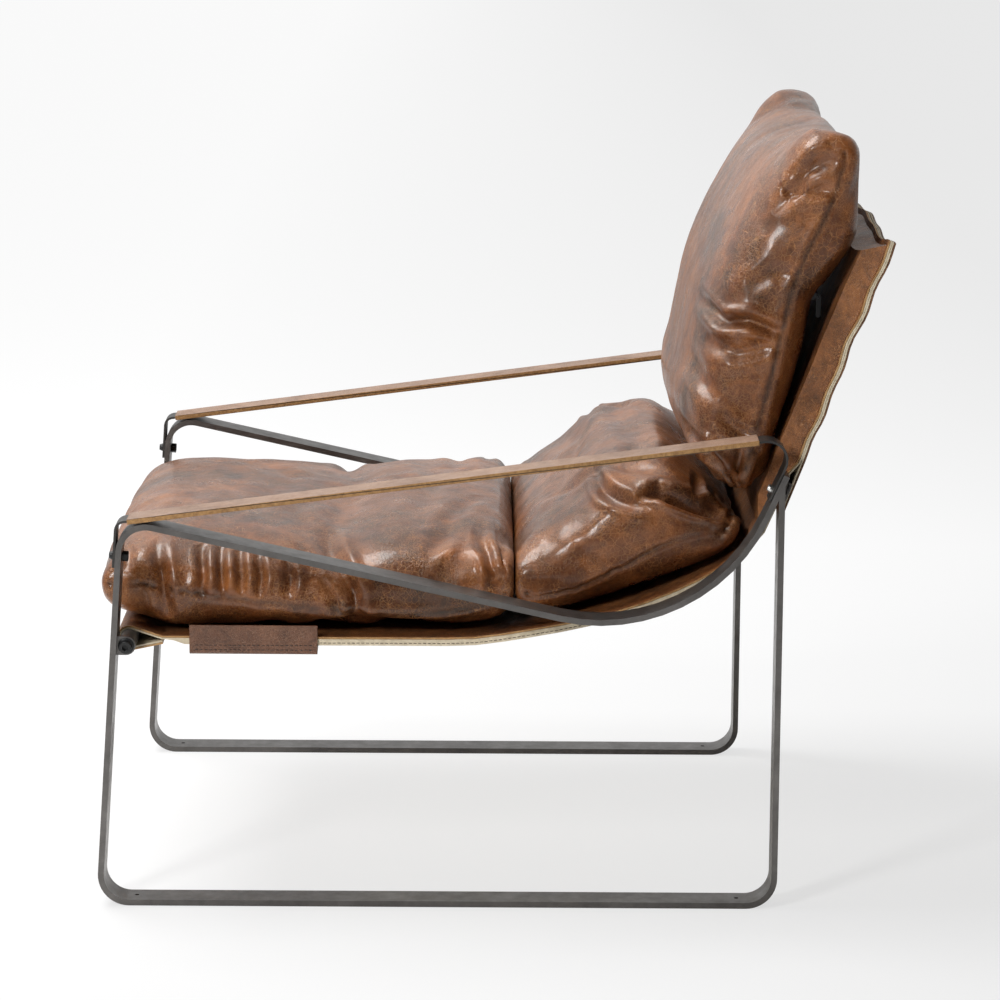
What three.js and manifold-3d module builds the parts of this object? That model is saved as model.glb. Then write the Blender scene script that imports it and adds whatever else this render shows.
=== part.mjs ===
// Leather sling lounge chair: two flat bar side frames, a front rail, a back hoop and cross bar,
// a leather and canvas sling with a back pocket, strap arms, and a three part leather cushion.
// Millimetres. X runs across the seat, the sitter faces -Y, +Z is up, and the origin is on the
// floor under the middle of the chair.
import * as THREE from 'three';
import { mergeVertices } from 'three/addons/utils/BufferGeometryUtils.js';
import Module from 'manifold-3d';

const wasm = await Module();
wasm.setup();

// Clearances shared by the whole chair
const SEAT_GAP = 0.3;
const CUT_OVERRUN = 4;
const ROUND_SIDES = 20;
const CORNER_STEPS = 6;

// Flat bar side frames
const FRAME_WIDTH = 690;
const BAR_WIDTH = 38;
const BAR_THICK = 6.35;
const LEG_REAR_Y = 303;
const FRONT_FOOT_Y = -421;
const FRONT_LEG_LEAN = THREE.MathUtils.degToRad(3.65);
const FRONT_CORNER_Z = 420.3;
const SLOPE_FALL = THREE.MathUtils.degToRad(12.4);
const SEAT_BEND_RADIUS = 193;
const BACK_BAR_LEAN = THREE.MathUtils.degToRad(65.6);
const BACK_BAR_END_Z = 468;
const BACK_BAR_CROSS_Y = 286.8;
const BACK_BAR_CROSS_Z = 421.3;
const FOOT_RADIUS = 33;
const FRONT_CORNER_RADIUS = 32;
const WELD_BITE = 1;
const LEG_JOIN_Z = 304;
const GLIDE_HOLE_D = 5;
const GLIDE_HOLE_INSET = 42;

// Front rail and its fixings
const RAIL_D = 19;
const RAIL_WALL = 2;
const RAIL_Y = -387;
const RAIL_Z = 281;
const LUG_THICK = 6;
const LUG_INSET = 9;
const LUG_RADIUS = 10;
const LUG_HOLE_D = 8.6;
const RAIL_SCREW_D = 8;
const RAIL_SCREW_LENGTH = 32;
const RAIL_SCREW_HEAD_D = 13;
const RAIL_SCREW_HEAD_H = 8;
const RAIL_SOCKET_ACROSS = 6;
const RAIL_SOCKET_DEPTH = 4;
const RAIL_WASHER_D = 17;
const RAIL_WASHER_THICK = 1.6;
const RAIL_PLUG_LENGTH = 30;

// Back hoop and cross bar inside the sling pocket
const HOOP_D = 16;
const HOOP_CORNER_RADIUS = 34;
const HOOP_TOP_Z = 680;
const HOOP_STEPS = 44;
const HOOP_ROUND_STEPS = 4;
const CROSS_BAR_THICK = 5;
const CROSS_BAR_HEIGHT = 30;
const CROSS_BAR_Z = 425;

// Strap arms
const STRAP_WIDTH = 32;
const STRAP_THICK = 2.5;
const STRAP_RISE = THREE.MathUtils.degToRad(7.6);
const STRAP_FRONT_UNDER_Z = 412.6;
const STRAP_FRONT_RADIUS = 11;
const STRAP_REAR_RADIUS = 21.5;
const STRAP_FRONT_DROP_Z = 366;
const STRAP_REAR_DROP_Z = 441;
const SLEEVE_WIDTH = 38;
const SLEEVE_THICK = 1.3;
const SLEEVE_FRONT_Y = -384;
const SLEEVE_REAR_Y = 275;
const HOOK_BOLT_D = 6;
const HOOK_BOLT_HEAD_D = 10;
const HOOK_BOLT_HEAD_H = 4.5;
const HOOK_BOLT_SOCKET_ACROSS = 4;
const HOOK_BOLT_SOCKET_DEPTH = 2;
const HOOK_BOLT_CROWN_D = 6.8;
const HOOK_BOLT_CLEARANCE = 0.3;
const FRONT_HOOK_BOLT_Z = 376;
const REAR_HOOK_BOLT_Z = 450;
const HOOK_NUT_ACROSS = 10;
const HOOK_NUT_HEIGHT = 6;

// Sling and its back pocket
const SLING_SIDE_GAP = 8;
const SLING_HALF_WIDTH = FRAME_WIDTH / 2 - BAR_WIDTH - SLING_SIDE_GAP;
const HOOP_INSET = 31;
const HOOP_HALF_WIDTH = SLING_HALF_WIDTH - HOOP_INSET;
const LEATHER_THICK = 2;
const CANVAS_THICK = 1.6;
const SLING_BACK_LEAN = THREE.MathUtils.degToRad(69);
const SLING_SEAT_Z = 279.5;
const SLING_SEAM_Y = -352;
const SLING_BEND_Y = -80;
const SLING_POCKET_Y = 303;
const SLING_POCKET_Z = 424;
const SLING_TOP_Z = 708;
const POCKET_CLOSE_Z = 460;
const SLING_EDGE_STEP = 14;
const SLING_LOOP_STEPS = 8;
const SLING_CURVE_STEPS = 14;
const SLING_BACK_STEPS = 4;
const SLING_LOOP_START = THREE.MathUtils.degToRad(-81);
const SLING_LOOP_END = THREE.MathUtils.degToRad(-287);
const BAND_FRONT_Y = -323;
const BAND_REAR_Y = -187;
const BAND_THICK = 2.5;
const BAND_SIDE_HEIGHT = 24;
const BAND_RISE = 12.5;
const BAND_SLANT = 48;

// Cushions
const CUSHION_GAP = 0.7;
const SEAT_INSET = 8;
const LUMBAR_INSET = 11;
const PILLOW_INSET = 15;
const SEAT_HALF_WIDTH = SLING_HALF_WIDTH - SEAT_INSET;
const SEAT_FRONT_Y = -419;
const SEAT_REAR_Y = 21;
const SEAT_DEPTH = SEAT_REAR_Y - SEAT_FRONT_Y;
const SEAT_CROWN_Z = 394;
const SEAT_NOSE_Z = 340;
const LUMBAR_HALF_WIDTH = SLING_HALF_WIDTH - LUMBAR_INSET;
const LUMBAR_REAR_Y = 266;
const LUMBAR_CROWN_Z = 471;
const PILLOW_HALF_WIDTH = SLING_HALF_WIDTH - PILLOW_INSET;
const PILLOW_FOOT_Y = 246;
const PILLOW_FOOT_Z = 437;
const PILLOW_FRONT_Y = 190;
const PILLOW_TOP_Z = 808;
const PILLOW_TOP_Y = 352;
const PILLOW_EAR_RISE = 12;
const PILLOW_BACK_SWELL = 14;
const PILLOW_COVER_THICK = 2.4;
const COVER_TIP_RINGS = 3;
const INSERT_TIP_RINGS = 4;
const CUSHION_CORNER_RADIUS = 46;
const CUSHION_CORNER_DRAW = 27.6;
const CUSHION_TIP_HEIGHT = 9;
const SLING_SAMPLES = 9;
const CUSHION_STATIONS = 30;
const CUSHION_AROUND = 28;
const EAR_ACROSS_SHARE = 0.5;
const EAR_ALONG_SHARE = 0.8;
const INSET_REACH_SHARE = 0.2;

// Zip on the back of the pillow
const ZIP_Z = 645;
const ZIP_END_INSET = 34;
const ZIP_LENGTH = 2 * (PILLOW_HALF_WIDTH - ZIP_END_INSET);
const ZIP_TAPE_HEIGHT = 10;
const ZIP_TAPE_THICK = 1.6;
const ZIP_GROOVE_DEPTH = 20;
const ZIP_SINK = 1.5;
const ZIP_SLOT_DEPTH = 16;
const SLIDER_LENGTH = 11;
const SLIDER_END_GAP = 1.5;
const SLIDER_HEIGHT = 8;
const SLIDER_THICK = 2.2;
const BAIL_WIRE = 1.6;
const BAIL_LENGTH = 8;
const BAIL_RISE = 3.2;
const PULL_LENGTH = 22;
const PULL_WIDTH = 5.4;
const PULL_THICK = 1.4;
const PULL_EYE_D = 3;

// Materials
const finish = (color, roughness, metalness) => ({ color, roughness, metalness });
const GUNMETAL = finish(0x4b4845, 0.45, 0.85);
const DARK_STRAP = finish(0x3b3836, 0.5, 0.8);
const BRIGHT_STEEL = finish(0xb9b9b6, 0.3, 1);
const BLACK_STEEL = finish(0x1c1b1b, 0.4, 0.8);
const COGNAC = finish(0x6f3a1d, 0.35, 0);
const TAN_EDGE = finish(0x8a5a38, 0.5, 0);
const CANVAS = finish(0xd8c8a8, 0.9, 0);
const FILLING = finish(0xf1ece0, 0.95, 0);
const ZIP_BLACK = finish(0x131212, 0.45, 0.2);

// Directions of the side view: a drawn (y, z) point extruded along x
const SIDE_VIEW = new THREE.Matrix4().makeBasis(
  new THREE.Vector3(0, 1, 0), new THREE.Vector3(0, 0, 1), new THREE.Vector3(1, 0, 0));

const chair = new THREE.Group();

function addPiece(name, geometry, look) {
  const mesh = new THREE.Mesh(geometry, new THREE.MeshStandardMaterial(look));
  mesh.name = name;
  chair.add(mesh);
  return mesh;
}

// Each side of the chair: +1 is the sitter's left, -1 the right
function forBothSides(make) {
  make('left', 1);
  make('right', -1);
}

function mirrored(geometry, side) {
  if (side > 0) return geometry;
  const flipped = geometry.clone().scale(-1, 1, 1);
  const index = flipped.index ? Array.from(flipped.index.array)
    : Array.from({ length: flipped.attributes.position.count }, (_, i) => i);
  for (let i = 0; i < index.length; i += 3) [index[i], index[i + 1]] = [index[i + 1], index[i]];
  flipped.setIndex(index);
  return flipped;
}

// Joining and cutting
function toSolid(geometry) {
  const bare = geometry.clone();
  bare.deleteAttribute('normal');
  bare.deleteAttribute('uv');
  const merged = mergeVertices(bare);
  return new wasm.Manifold(new wasm.Mesh({
    numProp: 3,
    vertProperties: new Float32Array(merged.attributes.position.array),
    triVerts: new Uint32Array(merged.index.array),
  }));
}

function fromSolid(solid) {
  const mesh = solid.getMesh();
  const geometry = new THREE.BufferGeometry();
  geometry.setAttribute('position', new THREE.BufferAttribute(new Float32Array(mesh.vertProperties), 3));
  geometry.setIndex(Array.from(mesh.triVerts));
  return geometry;
}

const joined = (...pieces) => fromSolid(pieces.map(toSolid).reduce((a, b) => a.add(b)));
const cut = (base, ...tools) => fromSolid(
  tools.map(toSolid).reduce((a, b) => a.subtract(b), toSolid(base)));

// Straight lines of the side view, each a point and a heading
const heading = (y, z, angle) => ({ y, z, dy: Math.cos(angle), dz: Math.sin(angle) });
const shifted = (line, left) => ({ ...line, y: line.y - line.dz * left, z: line.z + line.dy * left });

function meet(a, b) {
  const along = ((b.y - a.y) * b.dz - (b.z - a.z) * b.dy) / (a.dy * b.dz - a.dz * b.dy);
  return { y: a.y + a.dy * along, z: a.z + a.dz * along };
}

const atHeight = (line, z) => ({ y: line.y + line.dy * (z - line.z) / line.dz, z });

// A path through corners, rounded where a corner has a radius; each point keeps its left normal
function roundedPath(corners, steps) {
  const points = [];
  const add = (y, z, dy, dz) => points.push({ y, z, ny: -dz, nz: dy });
  corners.forEach((corner, i) => {
    const before = corners[i - 1];
    const after = corners[i + 1];
    const inward = before && unit(before, corner);
    const outward = after && unit(corner, after);
    if (!before || !after) {
      const way = inward ?? outward;
      add(corner.y, corner.z, way.dy, way.dz);
      return;
    }
    const turn = Math.atan2(inward.dy * outward.dz - inward.dz * outward.dy,
      inward.dy * outward.dy + inward.dz * outward.dz);
    const setback = corner.radius * Math.tan(Math.abs(turn) / 2);
    const side = Math.sign(turn);
    const centre = {
      y: corner.y - inward.dy * setback - inward.dz * side * corner.radius,
      z: corner.z - inward.dz * setback + inward.dy * side * corner.radius,
    };
    for (let k = 0; k <= steps; k += 1) {
      const angle = Math.atan2(inward.dz, inward.dy) + turn * k / steps;
      const dy = Math.cos(angle);
      const dz = Math.sin(angle);
      add(centre.y + dz * side * corner.radius, centre.z - dy * side * corner.radius, dy, dz);
    }
  });
  return points;
}

function unit(from, to) {
  const length = Math.hypot(to.y - from.y, to.z - from.z);
  return { dy: (to.y - from.y) / length, dz: (to.z - from.z) / length };
}

const offsetPoints = (path, left) => path.map(
  (p) => new THREE.Vector2(p.y + p.ny * left, p.z + p.nz * left));

function sidePlate(outline, x, width) {
  const shape = new THREE.Shape(outline);
  const geometry = new THREE.ExtrudeGeometry(shape, { depth: width, bevelEnabled: false });
  return geometry.applyMatrix4(SIDE_VIEW).translate(x, 0, 0);
}

// A flat strip that follows a path, centred on it
function strip(path, thick, x, width) {
  const outline = [...offsetPoints(path, thick / 2), ...offsetPoints(path, -thick / 2).reverse()];
  return sidePlate(outline, x, width);
}

const tubeAcross = (radius, length, sides) => new THREE.CylinderGeometry(radius, radius, length, sides)
  .rotateZ(-Math.PI / 2);

const HALF_WIDTH = FRAME_WIDTH / 2;
const BAR_INNER_X = HALF_WIDTH - BAR_WIDTH;
const BAR_MID_X = HALF_WIDTH - BAR_WIDTH / 2;

// Centre lines of the flat bar, in the order it is bent
const rearLegLine = heading(LEG_REAR_Y - BAR_THICK / 2, 0, -Math.PI / 2);
const runnerLine = heading(0, BAR_THICK / 2, Math.PI);
const frontLegOuter = heading(FRONT_FOOT_Y, 0, Math.PI / 2 - FRONT_LEG_LEAN);
const frontLegLine = shifted(frontLegOuter, -BAR_THICK / 2);
const frontCornerOuter = atHeight(frontLegOuter, FRONT_CORNER_Z);
const slopeLine = shifted(heading(frontCornerOuter.y, frontCornerOuter.z, -SLOPE_FALL), -BAR_THICK / 2);
const backBarOuter = heading(BACK_BAR_CROSS_Y, BACK_BAR_CROSS_Z, BACK_BAR_LEAN);
const backBarLine = shifted(backBarOuter, BAR_THICK / 2);
const backBarInner = shifted(backBarOuter, BAR_THICK);

function sideFrame() {
  const weldZ = meet(backBarOuter, heading(LEG_REAR_Y, 0, Math.PI / 2)).z + WELD_BITE;
  const path = roundedPath([
    atHeight(rearLegLine, LEG_JOIN_Z),
    { ...meet(rearLegLine, runnerLine), radius: FOOT_RADIUS - BAR_THICK / 2 },
    { ...meet(runnerLine, frontLegLine), radius: FOOT_RADIUS - BAR_THICK / 2 },
    { ...meet(frontLegLine, slopeLine), radius: FRONT_CORNER_RADIUS - BAR_THICK / 2 },
    { ...meet(slopeLine, backBarLine), radius: SEAT_BEND_RADIUS - BAR_THICK / 2 },
    atHeight(backBarLine, BACK_BAR_END_Z),
  ], CORNER_STEPS * 2);
  const bar = strip(path, BAR_THICK, BAR_INNER_X, BAR_WIDTH);
  const legTop = sidePlate([
    new THREE.Vector2(LEG_REAR_Y - BAR_THICK, LEG_JOIN_Z), new THREE.Vector2(LEG_REAR_Y, LEG_JOIN_Z),
    new THREE.Vector2(LEG_REAR_Y, weldZ), new THREE.Vector2(LEG_REAR_Y - BAR_THICK, weldZ),
  ], BAR_INNER_X, BAR_WIDTH);
  const holes = [FRONT_FOOT_Y + GLIDE_HOLE_INSET, LEG_REAR_Y - GLIDE_HOLE_INSET].map((y) => (
    new THREE.CylinderGeometry(GLIDE_HOLE_D / 2, GLIDE_HOLE_D / 2, BAR_THICK + CUT_OVERRUN, ROUND_SIDES / 2)
      .rotateX(Math.PI / 2).translate(BAR_MID_X, y, BAR_THICK / 2)));
  return cut(joined(bar, legTop, railLug()), ...holes, ...hookBoltHoles(), lugHole());
}

const LUG_X = HALF_WIDTH - LUG_INSET - LUG_THICK;

// Welded lug behind the front leg that takes the rail screw
function railLug() {
  const legRear = shifted(frontLegOuter, -BAR_THICK + WELD_BITE);
  const nose = new THREE.CylinderGeometry(LUG_RADIUS, LUG_RADIUS, LUG_THICK, ROUND_SIDES)
    .rotateZ(-Math.PI / 2).translate(LUG_X + LUG_THICK / 2, RAIL_Y, RAIL_Z);
  const root = sidePlate([
    new THREE.Vector2(atHeight(legRear, RAIL_Z - LUG_RADIUS).y, RAIL_Z - LUG_RADIUS),
    new THREE.Vector2(RAIL_Y, RAIL_Z - LUG_RADIUS),
    new THREE.Vector2(RAIL_Y, RAIL_Z + LUG_RADIUS),
    new THREE.Vector2(atHeight(legRear, RAIL_Z + LUG_RADIUS).y, RAIL_Z + LUG_RADIUS),
  ], LUG_X, LUG_THICK);
  return joined(nose, root);
}

function lugHole() {
  return tubeAcross(LUG_HOLE_D / 2, LUG_THICK + CUT_OVERRUN, ROUND_SIDES)
    .translate(LUG_X + LUG_THICK / 2, RAIL_Y, RAIL_Z);
}

// Arm straps hook over the frame at both ends
const strapFrontLine = shifted(frontLegOuter, SEAT_GAP + STRAP_THICK / 2);
const strapStart = atHeight(frontLegOuter, STRAP_FRONT_UNDER_Z);
const strapLine = shifted(heading(strapStart.y, strapStart.z, STRAP_RISE), STRAP_THICK / 2);
const strapRearLine = shifted(backBarInner, SEAT_GAP + STRAP_THICK / 2);

const strapPath = () => roundedPath([
  atHeight(strapFrontLine, STRAP_FRONT_DROP_Z),
  { ...meet(strapFrontLine, strapLine), radius: STRAP_FRONT_RADIUS - STRAP_THICK / 2 },
  { ...meet(strapLine, strapRearLine), radius: STRAP_REAR_RADIUS - STRAP_THICK / 2 },
  atHeight(strapRearLine, STRAP_REAR_DROP_Z),
], CORNER_STEPS + 2);

// A hook bolt's axis stands square on the bar that it goes through
function hookAxis(line, z, outward) {
  const point = atHeight(line, z);
  return { y: point.y, z: point.z, dy: -line.dz * outward, dz: line.dy * outward };
}

const frontHookAxis = hookAxis(frontLegOuter, FRONT_HOOK_BOLT_Z, 1);
const rearHookAxis = hookAxis(backBarInner, REAR_HOOK_BOLT_Z, 1);

// Puts a turned piece, drawn along +Y from zero, on a hook axis at the bar's middle
function onHookAxis(geometry, axis) {
  const turn = Math.atan2(axis.dz, axis.dy);
  return geometry.rotateX(turn).translate(BAR_MID_X, axis.y, axis.z);
}

const rodAlongY = (radius, from, to, sides) => new THREE.CylinderGeometry(radius, radius, to - from, sides)
  .translate(0, (from + to) / 2, 0);

function hookBoltHoles() {
  const radius = HOOK_BOLT_D / 2 + HOOK_BOLT_CLEARANCE;
  const through = () => rodAlongY(
    radius, -BAR_THICK - CUT_OVERRUN, STRAP_THICK + CUT_OVERRUN, ROUND_SIDES / 2);
  return [onHookAxis(through(), frontHookAxis), onHookAxis(through(), rearHookAxis)];
}

function armStrap() {
  const bar = strip(strapPath(), STRAP_THICK, BAR_MID_X - STRAP_WIDTH / 2, STRAP_WIDTH);
  return cut(bar, ...hookBoltHoles());
}

// The leather sleeve is a flat tube round the straight of the strap
function armSleeve() {
  const ends = [atDepth(strapLine, SLEEVE_FRONT_Y), atDepth(strapLine, SLEEVE_REAR_Y)];
  const path = roundedPath(ends, CORNER_STEPS);
  const inside = STRAP_THICK + 2 * SEAT_GAP;
  const outer = strip(path, inside + 2 * SLEEVE_THICK, BAR_MID_X - SLEEVE_WIDTH / 2, SLEEVE_WIDTH);
  const longer = roundedPath([
    atDepth(strapLine, SLEEVE_FRONT_Y - CUT_OVERRUN), atDepth(strapLine, SLEEVE_REAR_Y + CUT_OVERRUN),
  ], CORNER_STEPS);
  const bore = strip(longer, inside, BAR_MID_X - STRAP_WIDTH / 2 - SEAT_GAP, STRAP_WIDTH + 2 * SEAT_GAP);
  return cut(outer, bore);
}

const atDepth = (line, y) => ({ y, z: line.z + line.dz * (y - line.y) / line.dy });

// Button head bolt, drawn along +Y with its head outside the strap
function hookBolt(axis, shankEnd) {
  const face = STRAP_THICK + 2 * SEAT_GAP;
  const shank = rodAlongY(HOOK_BOLT_D / 2, shankEnd, face + WELD_BITE, ROUND_SIDES / 2);
  const head = new THREE.CylinderGeometry(HOOK_BOLT_CROWN_D / 2, HOOK_BOLT_HEAD_D / 2,
    HOOK_BOLT_HEAD_H, ROUND_SIDES).translate(0, face + HOOK_BOLT_HEAD_H / 2, 0);
  const socketRadius = HOOK_BOLT_SOCKET_ACROSS / Math.sqrt(3);
  const top = face + HOOK_BOLT_HEAD_H;
  const socket = rodAlongY(socketRadius, top - HOOK_BOLT_SOCKET_DEPTH, top + CUT_OVERRUN, 6);
  return onHookAxis(cut(joined(shank, head), socket), axis);
}

function hookNut() {
  const nut = rodAlongY(HOOK_NUT_ACROSS / Math.sqrt(3), -BAR_THICK - SEAT_GAP - HOOK_NUT_HEIGHT,
    -BAR_THICK - SEAT_GAP, 6);
  const bore = rodAlongY(HOOK_BOLT_D / 2 + SEAT_GAP, -BAR_THICK - HOOK_NUT_HEIGHT - CUT_OVERRUN, 0,
    ROUND_SIDES / 2);
  return onHookAxis(cut(nut, bore), frontHookAxis);
}

// Front rail between the lugs, with threaded plugs, screws and washers
const RAIL_END_X = LUG_X - SEAT_GAP;
const PLUG_BORE_R = RAIL_SCREW_D / 2 + SEAT_GAP;

function frontRail() {
  const tube = tubeAcross(RAIL_D / 2, 2 * RAIL_END_X, ROUND_SIDES);
  const bore = tubeAcross(RAIL_D / 2 - RAIL_WALL, 2 * RAIL_END_X + CUT_OVERRUN, ROUND_SIDES);
  return cut(tube, bore).translate(0, RAIL_Y, RAIL_Z);
}

function railPlug() {
  const plug = tubeAcross(RAIL_D / 2 - RAIL_WALL - SEAT_GAP, RAIL_PLUG_LENGTH, ROUND_SIDES);
  const bore = tubeAcross(PLUG_BORE_R, RAIL_PLUG_LENGTH + CUT_OVERRUN, ROUND_SIDES);
  return cut(plug, bore).translate(RAIL_END_X - RAIL_PLUG_LENGTH / 2, RAIL_Y, RAIL_Z);
}

function railScrew() {
  const underHead = LUG_X + LUG_THICK + RAIL_WASHER_THICK + 2 * SEAT_GAP;
  const shank = tubeAcross(RAIL_SCREW_D / 2, RAIL_SCREW_LENGTH, ROUND_SIDES)
    .translate(underHead - RAIL_SCREW_LENGTH / 2 + WELD_BITE, 0, 0);
  const head = tubeAcross(RAIL_SCREW_HEAD_D / 2, RAIL_SCREW_HEAD_H, ROUND_SIDES)
    .translate(underHead + RAIL_SCREW_HEAD_H / 2, 0, 0);
  const socket = tubeAcross(RAIL_SOCKET_ACROSS / Math.sqrt(3), 2 * RAIL_SOCKET_DEPTH, 6)
    .translate(underHead + RAIL_SCREW_HEAD_H, 0, 0);
  return cut(joined(shank, head), socket).translate(0, RAIL_Y, RAIL_Z);
}

function railWasher() {
  const disc = tubeAcross(RAIL_WASHER_D / 2, RAIL_WASHER_THICK, ROUND_SIDES);
  const bore = tubeAcross(PLUG_BORE_R, RAIL_WASHER_THICK + CUT_OVERRUN, ROUND_SIDES);
  return cut(disc, bore).translate(LUG_X + LUG_THICK + SEAT_GAP + RAIL_WASHER_THICK / 2, RAIL_Y, RAIL_Z);
}

// The back panel of the pocket lies on this line, and everything in the pocket stands in front of it
const pocketLine = heading(SLING_POCKET_Y, SLING_POCKET_Z, SLING_BACK_LEAN);
const crossBarLine = shifted(pocketLine, SEAT_GAP + CROSS_BAR_THICK / 2);
const HOOP_OFFSET = SEAT_GAP + CROSS_BAR_THICK + SEAT_GAP + HOOP_D / 2;
const hoopLine = shifted(pocketLine, HOOP_OFFSET);

function crossBar() {
  const ends = [atHeight(crossBarLine, CROSS_BAR_Z),
    atHeight(crossBarLine, CROSS_BAR_Z + CROSS_BAR_HEIGHT * Math.sin(SLING_BACK_LEAN))];
  const half = BAR_INNER_X - SEAT_GAP;
  return strip(roundedPath(ends, CORNER_STEPS), CROSS_BAR_THICK, -half, 2 * half);
}

class HoopCurve extends THREE.Curve {
  constructor() {
    super();
    const foot = atHeight(hoopLine, CROSS_BAR_Z + HOOP_D / 2);
    this.origin = new THREE.Vector3(0, foot.y, foot.z);
    this.up = new THREE.Vector3(0, hoopLine.dy, hoopLine.dz);
    this.rise = (HOOP_TOP_Z - foot.z) / hoopLine.dz;
    this.legLength = this.rise - HOOP_CORNER_RADIUS;
    this.topLength = 2 * (HOOP_HALF_WIDTH - HOOP_CORNER_RADIUS);
    this.arcLength = HOOP_CORNER_RADIUS * Math.PI / 2;
    this.total = 2 * this.legLength + 2 * this.arcLength + this.topLength;
  }

  planePoint(distance) {
    if (distance > this.total / 2) {
      const [x, v] = this.planePoint(this.total - distance);
      return [-x, v];
    }
    if (distance <= this.legLength) return [HOOP_HALF_WIDTH, distance];
    const past = distance - this.legLength;
    if (past <= this.arcLength) {
      const angle = past / HOOP_CORNER_RADIUS;
      return [HOOP_HALF_WIDTH - HOOP_CORNER_RADIUS * (1 - Math.cos(angle)),
        this.legLength + HOOP_CORNER_RADIUS * Math.sin(angle)];
    }
    return [HOOP_HALF_WIDTH - HOOP_CORNER_RADIUS - (past - this.arcLength), this.rise];
  }

  getPoint(t) {
    const [x, v] = this.planePoint(t * this.total);
    return this.origin.clone().addScaledVector(this.up, v).setX(x);
  }
}

function backHoop() {
  const circle = new THREE.Shape().absarc(0, 0, HOOP_D / 2, 0, 2 * Math.PI);
  return new THREE.ExtrudeGeometry(new THREE.Shape(circle.getPoints(HOOP_ROUND_STEPS)), {
    steps: HOOP_STEPS, extrudePath: new HoopCurve(), bevelEnabled: false,
  });
}

// The line of the sling seen from the side, from the seam under the rail, round the rail,
// along the seat and up the back; the canvas lies on its left
const SLING_LOOP_R = RAIL_D / 2 + SEAT_GAP;
const slingRunShares = [[0.06, 0.0], [0.16, 0.008], [0.28, 0.055], [0.44, 0.135], [0.6, 0.25],
  [0.75, 0.415], [0.88, 0.62], [0.96, 0.83]];

function slingPath() {
  const points = [];
  const seamZ = SLING_SEAT_Z - 2 * SEAT_GAP;
  points.push({ y: SLING_SEAM_Y, z: seamZ - SEAT_GAP });
  for (let k = 0; k <= SLING_LOOP_STEPS; k += 1) {
    const angle = THREE.MathUtils.lerp(SLING_LOOP_START, SLING_LOOP_END, k / SLING_LOOP_STEPS);
    points.push({ y: RAIL_Y + SLING_LOOP_R * Math.cos(angle), z: RAIL_Z + SLING_LOOP_R * Math.sin(angle) });
  }
  points.push({ y: SLING_SEAM_Y, z: SLING_SEAT_Z + SEAT_GAP });
  points.push({ y: (SLING_SEAM_Y + SLING_BEND_Y) / 2, z: SLING_SEAT_Z - SEAT_GAP });
  const bendStart = new THREE.Vector2(SLING_BEND_Y, SLING_SEAT_Z);
  const run = SLING_POCKET_Y - SLING_BEND_Y;
  const rise = SLING_POCKET_Z - SLING_SEAT_Z;
  const curve = new THREE.SplineCurve([bendStart,
    ...slingRunShares.map(([u, v]) => new THREE.Vector2(SLING_BEND_Y + u * run, SLING_SEAT_Z + v * rise)),
    new THREE.Vector2(SLING_POCKET_Y, SLING_POCKET_Z)]);
  curve.getSpacedPoints(SLING_CURVE_STEPS).forEach((p) => points.push({ y: p.x, z: p.y }));
  const closed = POCKET_CLOSE_Z + SLING_EDGE_STEP;
  const hoopCrest = HOOP_TOP_Z + HOOP_D / 2 + SEAT_GAP;
  const heights = [POCKET_CLOSE_Z];
  for (let k = 0; k <= SLING_BACK_STEPS; k += 1) {
    heights.push(THREE.MathUtils.lerp(closed, hoopCrest, k / SLING_BACK_STEPS));
  }
  heights.push(hoopCrest + SLING_EDGE_STEP, SLING_TOP_Z);
  heights.forEach((z) => points.push(atHeight(pocketLine, z)));
  return withNormals(points);
}

function withNormals(points) {
  return points.map((p, i) => {
    const way = unit(points[Math.max(i - 1, 0)], points[Math.min(i + 1, points.length - 1)]);
    return { ...p, ny: -way.dz, nz: way.dy };
  });
}

const smooth = (t) => THREE.MathUtils.smoothstep(t, 0, 1);
const past = (t, start) => smooth((t - start) / (1 - start));

// How far the front sheet of the pocket stands off the back panel
function pocketStandOff(point, x) {
  const startZ = CROSS_BAR_Z - CROSS_BAR_HEIGHT - BAR_THICK;
  const enter = smooth((point.z - startZ) / CROSS_BAR_HEIGHT);
  const overHoop = HOOP_OFFSET + HOOP_D / 2 + SEAT_GAP;
  const hoopOuter = HOOP_HALF_WIDTH + HOOP_D / 2 + SEAT_GAP;
  const across = 1 - smooth((Math.abs(x) - hoopOuter) / SLING_EDGE_STEP);
  const above = 1 - smooth((point.z - HOOP_TOP_Z - HOOP_D / 2 - SEAT_GAP) / SLING_EDGE_STEP);
  const closing = smooth((point.z - POCKET_CLOSE_Z) / SLING_EDGE_STEP);
  const atEdge = THREE.MathUtils.lerp(CROSS_BAR_THICK + 3 * SEAT_GAP, SEAT_GAP, closing);
  return enter * THREE.MathUtils.lerp(atEdge, overHoop, across * above);
}

// Where the sheets of the sling are sampled across the chair
function sheetColumns() {
  const hoopOuter = HOOP_HALF_WIDTH + HOOP_D / 2 + SEAT_GAP;
  const half = [HOOP_HALF_WIDTH / 2, hoopOuter, hoopOuter + SLING_EDGE_STEP, SLING_HALF_WIDTH];
  return [...half.slice().reverse().map((x) => -x), 0, ...half];
}

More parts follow.
